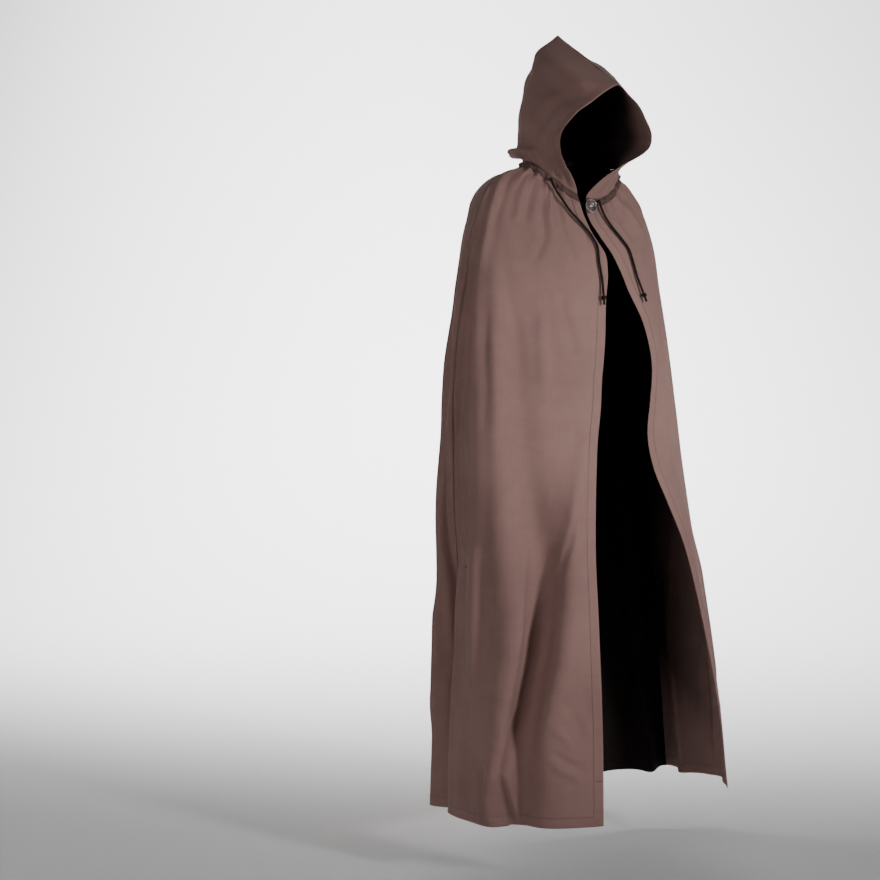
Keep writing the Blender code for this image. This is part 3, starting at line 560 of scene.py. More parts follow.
def creases_at(surface, creases, points, around):
    """How far out the creases move each point of the cloth."""
    flat = points.reshape(-1, 3)
    place = np.broadcast_to(around, points.shape[:-1]).reshape(-1)
    total = np.zeros(len(flat))
    for crease in creases:
        line_around, line = smooth_line(surface, crease.path, LINE_POINTS)
        reach = 3.2 * crease.wide
        inside = np.all((flat > line.min(0) - reach) & (flat < line.max(0) + reach), axis=1)
        inside &= (place > line_around.min() - 0.12) & (place < line_around.max() + 0.12)
        near = np.nonzero(inside)[0]
        if len(near) == 0:
            continue
        apart = np.linalg.norm(flat[near, None, :] - line[None, :, :], axis=2)
        nearest = apart.argmin(axis=1)
        away = apart[np.arange(len(near)), nearest]
        along = nearest.astype(float)
        for step in (-1, 1):
            other = np.clip(nearest + step, 0, len(line) - 1)
            way = line[other] - line[nearest]
            from_point = flat[near] - line[nearest]
            share = np.clip((from_point * way).sum(1) / np.maximum((way**2).sum(1), 1e-12), 0, 1)
            beside = np.linalg.norm(from_point - way * share[:, None], axis=1)
            along = np.where(beside < away, nearest + step * share, along)
            away = np.minimum(away, beside)
        away = away / crease.wide
        along = along / (len(line) - 1)
        faded = smooth(0.0, 0.25, along) * smooth(0.0, 0.25, 1 - along)
        total[near] += crease.deep * faded * (np.exp(-(away**2)) - 0.3 * np.exp(-((away - 1.9) ** 2)))
    return total.reshape(points.shape[:-1])


def small_gathers(around, reach):
    """Fine uneven gathers beside the drawn-in edge, fading out as reach goes from 0 to 1."""
    uneven = 0.65 + 0.35 * np.sin(around * 61.0 + 2.0)
    short = 0.6 + 0.4 * np.sin(around * 83.0 + 0.5)
    wave = np.sin(2 * np.pi * 57 * around + 1.6 * np.sin(around * 29.0))
    inside = smooth(0.0, 0.05, around) * smooth(0.0, 0.05, 1 - around)
    return wave * uneven * inside * (1 - smooth(0.0, 1.0, reach / short))


def unevenness(around, down):
    """Long shallow waves, so that no stretch of cloth is quite even."""
    grown = smooth(0.12, 0.6, down)
    first = np.sin(2 * np.pi * (8.5 * around + 0.30 * np.sin(2.3 * down + 1.1)) + 0.7)
    second = np.sin(2 * np.pi * (14.0 * around + 0.45 * np.sin(3.1 * down)) + 2.1 + 1.4 * down)
    third = np.sin(2 * np.pi * (4.0 * around + 1.7 * down) + 0.4)
    return grown * (0.0013 * first + 0.0009 * second + 0.0005 * third)


def fine_body(around, down):
    """The body's cloth with its creases, and its outward normal."""
    middle = body_cloth(around, down)
    normal, _ = normal_of(body_cloth, around, down)
    loose = smooth(0.0, 0.015, down)
    edge = smooth(0.0, 0.03, around) * smooth(0.0, 0.03, 1 - around)
    out = creases_at(body_cloth, BODY_CREASES, middle, around)
    out = out + SMALL_GATHER_OUT * small_gathers(around, down / SMALL_GATHER_DOWN)
    out = out - EASED_OUT * gather_wave(around, np.maximum(down, 0) / GATHER_DOWN)
    out = loose * (out * (0.35 + 0.65 * edge) + unevenness(around, down))
    ruffle = RUFFLE_OUT * small_gathers(around, np.zeros_like(around))
    band = np.sin(np.pi * np.clip((down + CASING_DROP) / CASING_DROP, 0, 1)) ** 2
    out = out + np.where(down < 0, band * ruffle, 0.0)
    return middle + normal * out[..., None], normal


def fine_hood(around, up):
    """The hood's cloth with its creases, and its outward normal."""
    middle = hood_cloth(around, up)
    inward, _ = normal_of(hood_cloth, around, up)
    out = creases_at(hood_cloth, HOOD_CREASES, middle, around)
    out = out + HOOD_SMALL_OUT * small_gathers(around, up / HOOD_SMALL_UP)
    rising = np.sin(2 * np.pi * (5.3 * around + 1.2 * up))
    turning = np.sin(2 * np.pi * (2.1 * up + 3.0 * around) + 1.0)
    out = (out + HOOD_WAVE_OUT * rising * turning) * smooth(0.0, 0.05, up)
    return middle - inward * out[..., None], -inward


# The cloth's look.
# A heavy plain-weave cotton, dyed a dusty mauve brown and quite matt. Its inner face is in deep
# shade in the photo, nearly black far in and brown by the hems, so that shade is in its colour.


def add_node(tree, kind, place, **settings):
    made = tree.nodes.new(kind)
    made.location = place
    for name, value in settings.items():
        setattr(made, name, value)
    return made


def math_node(tree, operation, place, first, second=None):
    """A Math node; first and second are sockets or numbers."""
    made = add_node(tree, "ShaderNodeMath", place, operation=operation)
    for socket, value in zip(made.inputs, (first, second)):
        if isinstance(value, (int, float)):
            socket.default_value = value
        elif value is not None:
            tree.links.new(value, socket)
    return made.outputs[0]


def range_node(tree, place, value, low, high, start, end):
    """A Map Range node with a smooth step."""
    made = add_node(tree, "ShaderNodeMapRange", place, interpolation_type="SMOOTHSTEP")
    tree.links.new(value, made.inputs["Value"])
    for name, number in (("From Min", low), ("From Max", high), ("To Min", start), ("To Max", end)):
        made.inputs[name].default_value = number
    return made.outputs["Result"]


def noise_node(tree, place, vector, scale, detail):
    made = add_node(tree, "ShaderNodeTexNoise", place)
    tree.links.new(vector, made.inputs["Vector"])
    made.inputs["Scale"].default_value = scale
    made.inputs["Detail"].default_value = detail
    return made.outputs["Fac"]


def mix_colour(tree, place, share, first, second):
    """A colour between two; each is a socket or three numbers."""
    made = add_node(tree, "ShaderNodeMix", place, data_type="RGBA")
    tree.links.new(share, made.inputs["Factor"])
    for socket, value in ((made.inputs[6], first), (made.inputs[7], second)):
        if isinstance(value, tuple):
            socket.default_value = (*value, 1.0)
        else:
            tree.links.new(value, socket)
    return made.outputs[2]


def group_with(name, inputs, outputs):
    """An empty node group with the named number inputs and outputs."""
    group = bpy.data.node_groups.new(name, "ShaderNodeTree")
    for label, value in inputs:
        socket = group.interface.new_socket(label, in_out="INPUT", socket_type="NodeSocketFloat")
        socket.default_value = value
    for label in outputs:
        group.interface.new_socket(label, in_out="OUTPUT", socket_type="NodeSocketFloat")
    start = add_node(group, "NodeGroupInput", (-900, 0))
    end = add_node(group, "NodeGroupOutput", (900, 0))
    return group, start, end


weave, weave_in, weave_out = group_with(
    "plain_weave", (("Pitch", 0.0008), ("Slubs", 0.5)), ("Height", "Shade")
)
cut_map = add_node(weave, "ShaderNodeUVMap", (-1100, 300), uv_map="cut")
parted = add_node(weave, "ShaderNodeSeparateXYZ", (-900, 300))
weave.links.new(cut_map.outputs[0], parted.inputs[0])
waves = []
for row, axis in enumerate(("X", "Y")):
    level = 300 - 160 * row
    turns = math_node(weave, "DIVIDE", (-700, level), parted.outputs[axis], weave_in.outputs["Pitch"])
    angle = math_node(weave, "MULTIPLY", (-520, level), turns, 3.14159)
    waves.append(math_node(weave, "SINE", (-340, level), angle))
crossed = math_node(weave, "MULTIPLY", (-160, 240), waves[0], waves[1])
stretch = add_node(weave, "ShaderNodeMapping", (-700, -200))
weave.links.new(cut_map.outputs[0], stretch.inputs["Vector"])
stretch.inputs["Scale"].default_value = (420.0, 14.0, 1.0)
lengthwise = noise_node(weave, (-500, -200), stretch.outputs[0], 1.0, 2.0)
across = add_node(weave, "ShaderNodeMapping", (-700, -500))
weave.links.new(cut_map.outputs[0], across.inputs["Vector"])
across.inputs["Scale"].default_value = (12.0, 380.0, 1.0)
crosswise = noise_node(weave, (-500, -500), across.outputs[0], 1.0, 2.0)
slubs = math_node(weave, "ADD", (-300, -300), lengthwise, crosswise)
slub_height = math_node(weave, "MULTIPLY", (-120, -300), slubs, weave_in.outputs["Slubs"])
low_weave = math_node(weave, "MULTIPLY", (20, 200), crossed, 0.35)
height = math_node(weave, "ADD", (200, 100), low_weave, slub_height)
weave.links.new(height, weave_out.inputs["Height"])
weave.links.new(range_node(weave, (200, -200), slubs, 0.75, 1.25, 0.0, 1.0), weave_out.inputs["Shade"])

hem_group, hem_in, hem_out = group_with(
    "turned_hem", (("Edge", 1.0), ("Seam", 1.0), ("Hem Width", 0.02)), ("Groove", "Rim")
)
off_line = math_node(hem_group, "SUBTRACT", (-700, 200), hem_in.outputs["Edge"], hem_in.outputs["Hem Width"])
apart = math_node(hem_group, "ABSOLUTE", (-520, 200), off_line)
hem_groove = range_node(hem_group, (-340, 200), apart, 0.0, 0.0010, 1.0, 0.0)
seam_groove = range_node(hem_group, (-340, -100), hem_in.outputs["Seam"], 0.0004, 0.0030, 1.0, 0.0)
both = math_node(hem_group, "MAXIMUM", (-100, 100), hem_groove, seam_groove)
hem_group.links.new(both, hem_out.inputs["Groove"])
rim = range_node(hem_group, (-340, -400), hem_in.outputs["Edge"], 0.0005, 0.0040, 1.0, 0.0)
hem_group.links.new(rim, hem_out.inputs["Rim"])


def attribute(tree, place, name):
    return add_node(tree, "ShaderNodeAttribute", place, attribute_name=name).outputs["Fac"]


def cloth_look(name, light, dark, inner):
    """The cloth's material: light and dark are its two tones, and inner marks the inside face."""
    look = bpy.data.materials.new(name)
    look.use_nodes = True
    tree = look.node_tree
    shader = tree.nodes["Principled BSDF"]
    threads = add_node(tree, "ShaderNodeGroup", (-1000, -300), node_tree=weave)
    threads.inputs["Pitch"].default_value = 0.0009
    threads.inputs["Slubs"].default_value = 0.45
    hems = add_node(tree, "ShaderNodeGroup", (-1000, -600), node_tree=hem_group)
    hems.inputs["Hem Width"].default_value = 0.020
    tree.links.new(attribute(tree, (-1300, -600), "edge_m"), hems.inputs["Edge"])
    tree.links.new(attribute(tree, (-1300, -800), "seam_m"), hems.inputs["Seam"])
    places = add_node(tree, "ShaderNodeTexCoord", (-1700, 200)).outputs["Object"]
    blotch = noise_node(tree, (-1400, 300), places, 4.0, 2.0)
    mottle = noise_node(tree, (-1400, 100), places, 38.0, 4.0)
    light_mottle = math_node(tree, "MULTIPLY", (-1200, 50), mottle, 0.3)
    toned = math_node(tree, "ADD", (-1200, 200), blotch, light_mottle)
    share = range_node(tree, (-1000, 200), toned, 0.45, 0.85, 0.0, 1.0)
    base = mix_colour(tree, (-800, 200), share, light, dark)
    shade = math_node(tree, "MULTIPLY", (-800, -100), threads.outputs["Shade"], 0.08)
    base = mix_colour(tree, (-600, 200), shade, base, tuple(0.55 * c for c in dark))
    # Painted shade: the colour is darkened in the grooves of the seams and of the hem's stitch line.
    painted_groove_shade = math_node(tree, "MULTIPLY", (-800, -450), hems.outputs["Groove"], 0.14)
    base = mix_colour(tree, (-400, 200), painted_groove_shade, base, tuple(0.45 * c for c in dark))
    # Painted highlight: the colour is lightened within about 4 mm of the cloth's free edges.
    painted_rim_highlight = math_node(tree, "MULTIPLY", (-800, -600), hems.outputs["Rim"], 0.10)
    base = mix_colour(tree, (-200, 200), painted_rim_highlight, base, tuple(min(1.0, 1.5 * c) for c in light))
    if inner:
        # Painted shade on the inside face: its colour is drawn towards near black where the "dark" attribute
        # is high.
        deep = attribute(tree, (-400, 500), "dark")
        base = mix_colour(tree, (0, 300), deep, base, tuple(0.05 * c for c in dark))
    tree.links.new(base, shader.inputs["Base Color"])
    rough = math_node(tree, "MULTIPLY_ADD", (-400, -100), threads.outputs["Shade"], 0.06)
    rough.node.inputs[2].default_value = 0.88
    tree.links.new(rough, shader.inputs["Roughness"])
    shader.inputs["Specular IOR Level"].default_value = 0.22
    shader.inputs["Sheen Weight"].default_value = 0.02 if inner else 0.16
    shader.inputs["Sheen Roughness"].default_value = 0.45
    shader.inputs["Sheen Tint"].default_value = (0.86, 0.72, 0.68, 1)
    crumple_map = add_node(tree, "ShaderNodeMapping", (-1400, -1000))
    tree.links.new(places, crumple_map.inputs["Vector"])
    crumple_map.inputs["Scale"].default_value = (1.0, 1.0, 0.38)
    crumple = noise_node(tree, (-1200, -1000), crumple_map.outputs[0], 26.0, 2.0)
    soft = add_node(tree, "ShaderNodeBump", (-600, -900))
    soft.inputs["Strength"].default_value = 0.22
    soft.inputs["Distance"].default_value = 0.0022
    tree.links.new(crumple, soft.inputs["Height"])
    sewn = add_node(tree, "ShaderNodeBump", (-400, -700), invert=True)
    sewn.inputs["Strength"].default_value = 0.8
    sewn.inputs["Distance"].default_value = 0.0008
    tree.links.new(hems.outputs["Groove"], sewn.inputs["Height"])
    tree.links.new(soft.outputs[0], sewn.inputs["Normal"])
    woven = add_node(tree, "ShaderNodeBump", (-200, -500))
    woven.inputs["Strength"].default_value = 0.45
    woven.inputs["Distance"].default_value = 0.0003
    tree.links.new(threads.outputs["Height"], woven.inputs["Height"])
    tree.links.new(sewn.outputs[0], woven.inputs["Normal"])
    tree.links.new(woven.outputs[0], shader.inputs["Normal"])
    return look


OUTER = cloth_look("cloth_outer", (0.300, 0.175, 0.156), (0.252, 0.147, 0.131), False)
INNER = cloth_look("cloth_inner", (0.300, 0.180, 0.160), (0.250, 0.150, 0.132), True)


# The cloth pieces' making.
# Each is one layer of cloth with an outer and an inner face, a soft rim where its edge is free
# and a second layer inside its turned hems. Its flat cut is its UV map, in metres.

SHEET_THICK = 0.0013
TURNED_THICK = 0.0010
HEM_WIDE = 0.020
RIM_BULGE = 0.0007


def lengths_along(points, axis):
    """Lengths from the first row or column of a grid of points to each of the others."""
    steps = np.linalg.norm(np.diff(points, axis=axis), axis=2)
    start = np.zeros_like(np.take(steps, [0], axis=axis))
    return np.concatenate([start, np.cumsum(steps, axis=axis)], axis=axis)


def cloth_piece(name, middle, normal, edge_m, seam_m, dark, free):
    """A sheet on a grid of points; free names the sides with a soft rim."""
    rows, columns = middle.shape[:2]
    turned = TURNED_THICK * (1 - smooth(HEM_WIDE - 0.001, HEM_WIDE + 0.001, edge_m))
    outer = middle + normal * SHEET_THICK / 2
    inner = middle - normal * (SHEET_THICK / 2 + turned)[..., None]
    across = lengths_along(middle, 1)
    across = across - across[:, columns // 2][:, None]
    downward = np.broadcast_to(lengths_along(middle, 0)[:, columns // 2][:, None], across.shape)
    count = rows * columns
    index = np.arange(count).reshape(rows, columns)
    rim = np.concatenate([index[0, :-1], index[:-1, -1], index[-1, :0:-1], index[:0:-1, 0]])
    side = ["first_row"] * (columns - 1) + ["last_column"] * (rows - 1)
    side += ["last_row"] * (columns - 1) + ["first_column"] * (rows - 1)
    flat_outer = outer.reshape(-1, 3)
    flat_inner = inner.reshape(-1, 3)
    neighbour = {
        "first_row": lambda r, c: (1, c), "last_row": lambda r, c: (rows - 2, c),
        "first_column": lambda r, c: (r, 1), "last_column": lambda r, c: (r, columns - 2),
    }
    rim_points = []
    for vertex, where in zip(rim, side):
        r, c = divmod(int(vertex), columns)
        ahead = middle[r, c] - middle[neighbour[where](r, c)]
        bulge = RIM_BULGE if where in free else 0.0
        centre = (flat_outer[vertex] + flat_inner[vertex]) / 2
        rim_points.append(centre + ahead / max(np.linalg.norm(ahead), 1e-9) * bulge)
    points = np.concatenate([flat_outer, flat_inner, np.array(rim_points)])
    first, right = index[:-1, :-1].reshape(-1), index[:-1, 1:].reshape(-1)
    below, corner = index[1:, :-1].reshape(-1), index[1:, 1:].reshape(-1)
    front = np.stack([first, below, corner, right], axis=1)
    back = np.stack([right, corner, below, first], axis=1) + count
    loop = np.arange(len(rim))
    after = np.roll(loop, -1)
    edge_out = np.stack([rim[loop], rim[after], 2 * count + after, 2 * count + loop], axis=1)
    edge_in = np.stack([2 * count + loop, 2 * count + after, rim[after] + count, rim[loop] + count], axis=1)
    faces = np.concatenate([front, back, edge_out, edge_in])
    first_side = points[front[:, 1]] - points[front[:, 0]]
    last_side = points[front[:, 3]] - points[front[:, 0]]
    outwards = (np.cross(first_side, last_side) * normal.reshape(-1, 3)[front[:, 0]]).sum()
    if outwards < 0:
        faces = faces[:, ::-1]
    data = bpy.data.meshes.new(name)
    data.vertices.add(len(points))
    data.vertices.foreach_set("co", points.reshape(-1))
    data.loops.add(faces.size)
    data.loops.foreach_set("vertex_index", faces.reshape(-1).astype(np.int32))
    data.polygons.add(len(faces))
    data.polygons.foreach_set("loop_start", np.arange(0, faces.size, 4, dtype=np.int32))
    look = np.repeat([0, 1, 0, 1], [len(front), len(back), len(loop), len(loop)])
    data.materials.append(OUTER)
    data.materials.append(INNER)
    data.update(calc_edges=True)
    data.polygons.foreach_set("material_index", look.astype(np.int32))
    data.polygons.foreach_set("use_smooth", [True] * len(faces))
    for label, value in (("edge_m", edge_m), ("seam_m", seam_m), ("dark", dark)):
        spread = np.broadcast_to(value, (rows, columns)).reshape(-1)
        made = data.attributes.new(label, "FLOAT", "POINT")
        made.data.foreach_set("value", np.concatenate([spread, spread, spread[rim]]).astype(np.float32))
    cut = np.stack([across.reshape(-1), -downward.reshape(-1)], axis=1)
    cut = np.concatenate([cut, cut, cut[rim]])
    cut_layer = data.uv_layers.new(name="cut")
    cut_layer.data.foreach_set("uv", cut[faces.reshape(-1)].reshape(-1).astype(np.float32))
    data.validate()
    made = bpy.data.objects.new(name, data)
    bpy.context.collection.objects.link(made)
    return made


def stitch_row(name, points, normals, look, long=0.0030, gap=0.0007, thick=0.00045):
    """A row of small raised stitches along a line of points on the cloth."""
    way = np.concatenate([[0], np.cumsum(np.linalg.norm(np.diff(points, axis=0), axis=1))])
    count = max(1, int(way[-1] / (long + gap)))
    starts = np.arange(count) * (long + gap)
    verts = []
    faces = []
    rings = ((0.0, 0.35, 0.0), (0.18, 1.0, 0.5), (0.82, 1.0, 0.5), (1.0, 0.35, 0.0))
    sides = 5
    for start in starts:
        first = len(verts)
        for share, swell, rise in rings:
            at = start + share * long
            centre = np.array([np.interp(at, way, points[:, k]) for k in range(3)])
            up = np.array([np.interp(at, way, normals[:, k]) for k in range(3)])
            ahead = np.array([np.interp(at + 0.001, way, points[:, k]) for k in range(3)])
            behind = np.array([np.interp(at - 0.001, way, points[:, k]) for k in range(3)])
            up = up / np.linalg.norm(up)
            beside = np.cross(up, ahead - behind)
            beside = beside / max(np.linalg.norm(beside), 1e-9)
            for s in range(sides):
                angle = 2 * np.pi * s / sides
                offset = beside * np.cos(angle) + up * (np.sin(angle) * 0.7 + rise)
                verts.append(centre + offset * swell * thick)
        for r in range(len(rings) - 1):
            for s in range(sides):
                a = first + r * sides + s
                b = first + r * sides + (s + 1) % sides
                faces.append((a, b, b + sides, a + sides))
        faces.append(tuple(first + s for s in reversed(range(sides))))
        last = first + (len(rings) - 1) * sides
        faces.append(tuple(last + s for s in range(sides)))
    data = bpy.data.meshes.new(name)
    data.from_pydata([tuple(v) for v in verts], [], faces)
    data.polygons.foreach_set("use_smooth", [True] * len(faces))
    data.materials.append(look)
    made = bpy.data.objects.new(name, data)
    bpy.context.collection.objects.link(made)
    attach(made, "root")
    return made


thread_look = bpy.data.materials.new("sewing_thread")
thread_look.use_nodes = True
thread = thread_look.node_tree.nodes["Principled BSDF"]
thread_place = add_node(thread_look.node_tree, "ShaderNodeTexCoord", (-900, 0)).outputs["Object"]
thread_noise = noise_node(thread_look.node_tree, (-700, 0), thread_place, 900.0, 2.0)
thread_colour = mix_colour(
    thread_look.node_tree, (-400, 0), thread_noise, (0.200, 0.120, 0.106), (0.150, 0.090, 0.080)
)
thread_look.node_tree.links.new(thread_colour, thread.inputs["Base Color"])
thread.inputs["Roughness"].default_value = 0.7
thread.inputs["Sheen Weight"].default_value = 0.2


def smooth_rows(low, high, step):
    """Evenly spaced places from low to high, about step apart, without the first."""
    count = max(1, int(round((high - low) / step)))
    return list(np.linspace(low, high, count + 1)[1:])


# The body's four panels.
# Two fronts and two backs, gathered into the neck casing at the top and joined at the sides and
# down the middle of the back. The fronts' free edges and the hem are turned in 20 mm and sewn.

PANELS = ("front_right", "back_right", "back_left", "front_left")
Cut = namedtuple("Cut", "wide long area")
panel_rows = [0.7 * SEAM] + smooth_rows(0.0, 0.12, 0.0026) + smooth_rows(0.12, 0.33, 0.0042)
panel_rows = np.array(panel_rows + smooth_rows(0.33, HEM_DOWN, 0.0056))
PANEL_COLUMNS = {"front_right": 122, "back_right": 112, "back_left": 112, "front_left": 122}
EVEN_DOWN = 0.95
EVEN_SHARE = 0.88
SEAM_PULL = 0.0007


def even_places(low, high, count):
    """Places round whose columns are nearly even along the cloth near the knees."""
    places = np.linspace(low, high, 2001)
    line = body_cloth(places, np.full_like(places, EVEN_DOWN))
    length = np.concatenate([[0], np.cumsum(np.linalg.norm(np.diff(line, axis=0), axis=1))])
    even = np.interp(np.linspace(0, length[-1], count), length, places)
    return EVEN_SHARE * even + (1 - EVEN_SHARE) * np.linspace(low, high, count)


panels = {}
for name, low, high in zip(PANELS, CUTS, CUTS[1:]):
    around, down = np.meshgrid(even_places(low, high, PANEL_COLUMNS[name]), panel_rows)
    middle, normal = fine_body(around, down)
    _, along = normal_of(body_cloth, around, down)
    across = lengths_along(middle, 1)
    rest = across[:, -1:] - across
    seam_m = np.minimum(across, rest)
    edge_m = np.broadcast_to(HEM_DOWN - down, down.shape)
    # The inside face's painted shade: 1 paints it nearly black. The fronts are painted lighter near their
    # free edges, the left front most of all near the hem.
    dark = np.ones_like(down)
    free = ["last_row"]
    if name == "front_right":
        seam_m, edge_m = rest, np.minimum(edge_m, across)
        free.append("first_column")
        dark = smooth(0.01, 0.16, edge_m)
    if name == "front_left":
        seam_m, edge_m = across, np.minimum(edge_m, rest)
        free.append("last_column")
        dark = 1 - (1 - smooth(0.08, 0.30, edge_m)) * (1 - 0.75 * smooth(0.38, 0.80, HEM_DOWN - down))
    seam_m = np.minimum(seam_m, down)
    if low > 0:
        middle[:, 0] += along[:, 0] * 0.15 * SEAM
    if high < 1:
        middle[:, -1] -= along[:, -1] * 0.15 * SEAM
    pull = SEAM_PULL * (1 - smooth(0.0, 0.005, seam_m)) * smooth(0.0, 0.004, down)
    middle = middle - normal * pull[..., None]
    panels[name] = cloth_piece("cloth_" + name, middle, normal, edge_m, seam_m, dark, free)
    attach(panels[name], "root")
    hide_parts(name)


EDGE_STEP = 0.002
HEM_LINE = HEM_DOWN - HEM_WIDE
BARTACK_DOWN = 1.2285
BARTACK_FROM = 0.0015
BARTACK_TO = 0.0085


def along_edge(around_edge, hand, downs):
    """Places round, HEM_WIDE in from a front's free edge, for each place down."""
    near = np.full_like(downs, around_edge)
    ahead = near + EDGE_STEP * hand
    speed = np.linalg.norm(body_cloth(ahead, downs) - body_cloth(near, downs), axis=1) / EDGE_STEP
    return near + hand * HEM_WIDE / speed


stitches = {}
for name, low, high in zip(PANELS, CUTS, CUTS[1:]):
    lines = []
    if name.startswith("front"):
        hand = 1 if name == "front_right" else -1
        downs = np.linspace(0.004, HEM_LINE, 260)
        lines.append((along_edge(0.0 if hand > 0 else 1.0, hand, downs), downs))
    start, end = low + 0.001, high - 0.001
    if name == "front_right":
        start = along_edge(0.0, 1, np.array([HEM_LINE]))[0]
    if name == "front_left":
        end = along_edge(1.0, -1, np.array([HEM_LINE]))[0]
    arounds = np.linspace(start, end, 130)
    lines.append((arounds, np.full_like(arounds, HEM_LINE)))
    stitches[name] = []
    for number, (arounds, downs) in enumerate(lines):
        points, normals = fine_body(arounds, downs)
        on_top = points + normals * SHEET_THICK / 2
        stitches[name].append(stitch_row(f"stitches_{name}_{number}", on_top, normals, thread_look))
points, normals = fine_body(np.linspace(BARTACK_FROM, BARTACK_TO, 8), np.full(8, BARTACK_DOWN))
on_top = points + normals * SHEET_THICK / 2
bartack = stitch_row("bartack", on_top, normals, thread_look, long=0.0022, gap=0.0001, thick=0.0011)
stitches["front_right"].append(bartack)


# The neck casing.
# A narrow tube of the same cloth between the hood and the body, with the drawstring inside it,
# drawn in so that it ruffles. It is sewn along both its edges, and the shade of its ruffles is painted into
# its cloth's colour.

# Painted shade: the casing's outer face is a darker copy of the body's cloth colours.
CASING_SHADED_LIGHT = (0.150, 0.088, 0.078)
CASING_SHADED_DARK = (0.105, 0.062, 0.055)
casing_rows = np.linspace(-0.3 * SEAM - CASING_DROP, 0.0, 13)
around, down = np.meshgrid(np.linspace(0, 1, 480), casing_rows)
middle, normal = fine_body(around, down)
across = lengths_along(middle, 1)
edge_m = np.minimum(across, across[:, -1:] - across) + HEM_WIDE + 0.004
seam_m = np.minimum(-down, down + CASING_DROP)
casing = cloth_piece(
    "cloth_neck_casing", middle, normal, edge_m, seam_m, np.ones_like(down), ["first_column", "last_column"]
)
casing.data.materials[0] = cloth_look("casing_outer_painted_shade", CASING_SHADED_LIGHT, CASING_SHADED_DARK, False)
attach(casing, "root")
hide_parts("neck_casing")


# The hood.
# Two halves of the same cloth, joined by a seam up the back and over the crown, gathered into
# the casing below, with a turned hem round the face.

HOOD_COLUMNS = 96
HOOD_ROWS = 111
HOOD_CROWDING = 1.3
hood_rows = np.linspace(0.0, 1.0, HOOD_ROWS) ** HOOD_CROWDING
hoods = {}
for name, hand in (("hood_right", -1.0), ("hood_left", 1.0)):
    places = 0.5 + hand * np.linspace(0.5, 0.0002, HOOD_COLUMNS)
    around, up = np.meshgrid(places, hood_rows)
    middle, normal = fine_hood(around, up)
    middle[:, -1, 0] = 0.0
    middle[-1, :, 0] = 0.0
    middle[..., 0] += hand * SEAM / 2
    normal[0], _ = normal_of(body_cloth, around[0], np.full(len(places), -CASING_DROP))
    normal[:, -1, 0] = 0.0
    normal[-1, :, 0] = 0.0
    normal = unit(normal)
    edge_m = lengths_along(middle, 1)
    rising = lengths_along(middle, 0)
    seam_m = np.minimum(edge_m[:, -1:] - edge_m, np.minimum(rising, rising[-1:] - rising))
    # The inside face's painted shade: nearly black deep in the hood, lighter near the face edge.
    dark = smooth(0.0, 0.09, edge_m) * 0.90 + 0.08
    hoods[name] = cloth_piece("cloth_" + name, middle, normal, edge_m, seam_m, dark, ["first_column"])
    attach(hoods[name], "root")
    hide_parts(name)
    ups = np.linspace(0.03, 0.985, 160)
    near = np.full_like(ups, places[0])
    ahead = near - EDGE_STEP * hand
    speed = np.linalg.norm(hood_cloth(ahead, ups) - hood_cloth(near, ups), axis=1) / EDGE_STEP
    points, normals = fine_hood(near - hand * HEM_WIDE / speed, ups)
    sewn = stitch_row(f"stitches_{name}", points + normals * SHEET_THICK / 2, normals, thread_look)


# The drawstring's two free ends.
# One near-black braided cotton cord runs through the casing. Its two ends come out at the front,
# lie on the cloth under their own weight, and each ends in a tight knot with a short tail.

CORD_WIDE = 0.005
KNOT_TALL = 0.011
KNOT_WRAP = 0.0021
KNOT_SWAY = 0.0008
KNOT_RISE = 0.0019
KNOT_CORD = 0.0029
TAIL_TALL = 0.009
TAIL_RADIUS = 0.0025
FRAYED_RADIUS = 0.0028

braid_look = bpy.data.materials.new("drawstring_braid")
braid_look.use_nodes = True
braid_tree = braid_look.node_tree
braid_shader = braid_tree.nodes["Principled BSDF"]
braid, braid_in, braid_out = group_with("round_braid", (("Strands", 6.0), ("Pitch", 0.008)), ("Height",))
round_map = add_node(braid, "ShaderNodeUVMap", (-1100, 0), uv_map="cut")
round_parts = add_node(braid, "ShaderNodeSeparateXYZ", (-900, 0))
braid.links.new(round_map.outputs[0], round_parts.inputs[0])
turning = math_node(braid, "MULTIPLY", (-700, 100), round_parts.outputs["X"], braid_in.outputs["Strands"])
rising = math_node(braid, "DIVIDE", (-700, -100), round_parts.outputs["Y"], braid_in.outputs["Pitch"])
strands = []
for row, operation in enumerate(("ADD", "SUBTRACT")):
    mixed = math_node(braid, operation, (-500, 150 - 300 * row), turning, rising)
    angle = math_node(braid, "MULTIPLY", (-320, 150 - 300 * row), mixed, 6.28318)
    strands.append(math_node(braid, "SINE", (-140, 150 - 300 * row), angle))
braid.links.new(math_node(braid, "MAXIMUM", (100, 0), strands[0], strands[1]), braid_out.inputs["Height"])
plaited = add_node(braid_tree, "ShaderNodeGroup", (-900, -200), node_tree=braid)
braid_place = add_node(braid_tree, "ShaderNodeTexCoord", (-1100, 200)).outputs["Object"]
fibre = noise_node(braid_tree, (-900, 200), braid_place, 700.0, 3.0)
# Painted shade: the braid's colour is darker in the hollows between its strands.
painted_braid_shade = range_node(braid_tree, (-700, 0), plaited.outputs["Height"], -0.2, 1.0, 0.0, 1.0)
braid_colour = mix_colour(braid_tree, (-500, 100), painted_braid_shade, (0.004, 0.003, 0.003), (0.016, 0.011, 0.010))
braid_colour = mix_colour(
    braid_tree, (-300, 100), math_node(braid_tree, "MULTIPLY", (-500, 300), fibre, 0.3), braid_colour,
    (0.026, 0.019, 0.017),
)
braid_tree.links.new(braid_colour, braid_shader.inputs["Base Color"])
braid_shader.inputs["Roughness"].default_value = 0.85
braid_shader.inputs["Specular IOR Level"].default_value = 0.2
braid_shader.inputs["Sheen Weight"].default_value = 0.04
braid_bump = add_node(braid_tree, "ShaderNodeBump", (-300, -300))
braid_bump.inputs["Strength"].default_value = 0.8
braid_bump.inputs["Distance"].default_value = 0.0004
braid_tree.links.new(plaited.outputs["Height"], braid_bump.inputs["Height"])
braid_tree.links.new(braid_bump.outputs[0], braid_shader.inputs["Normal"])


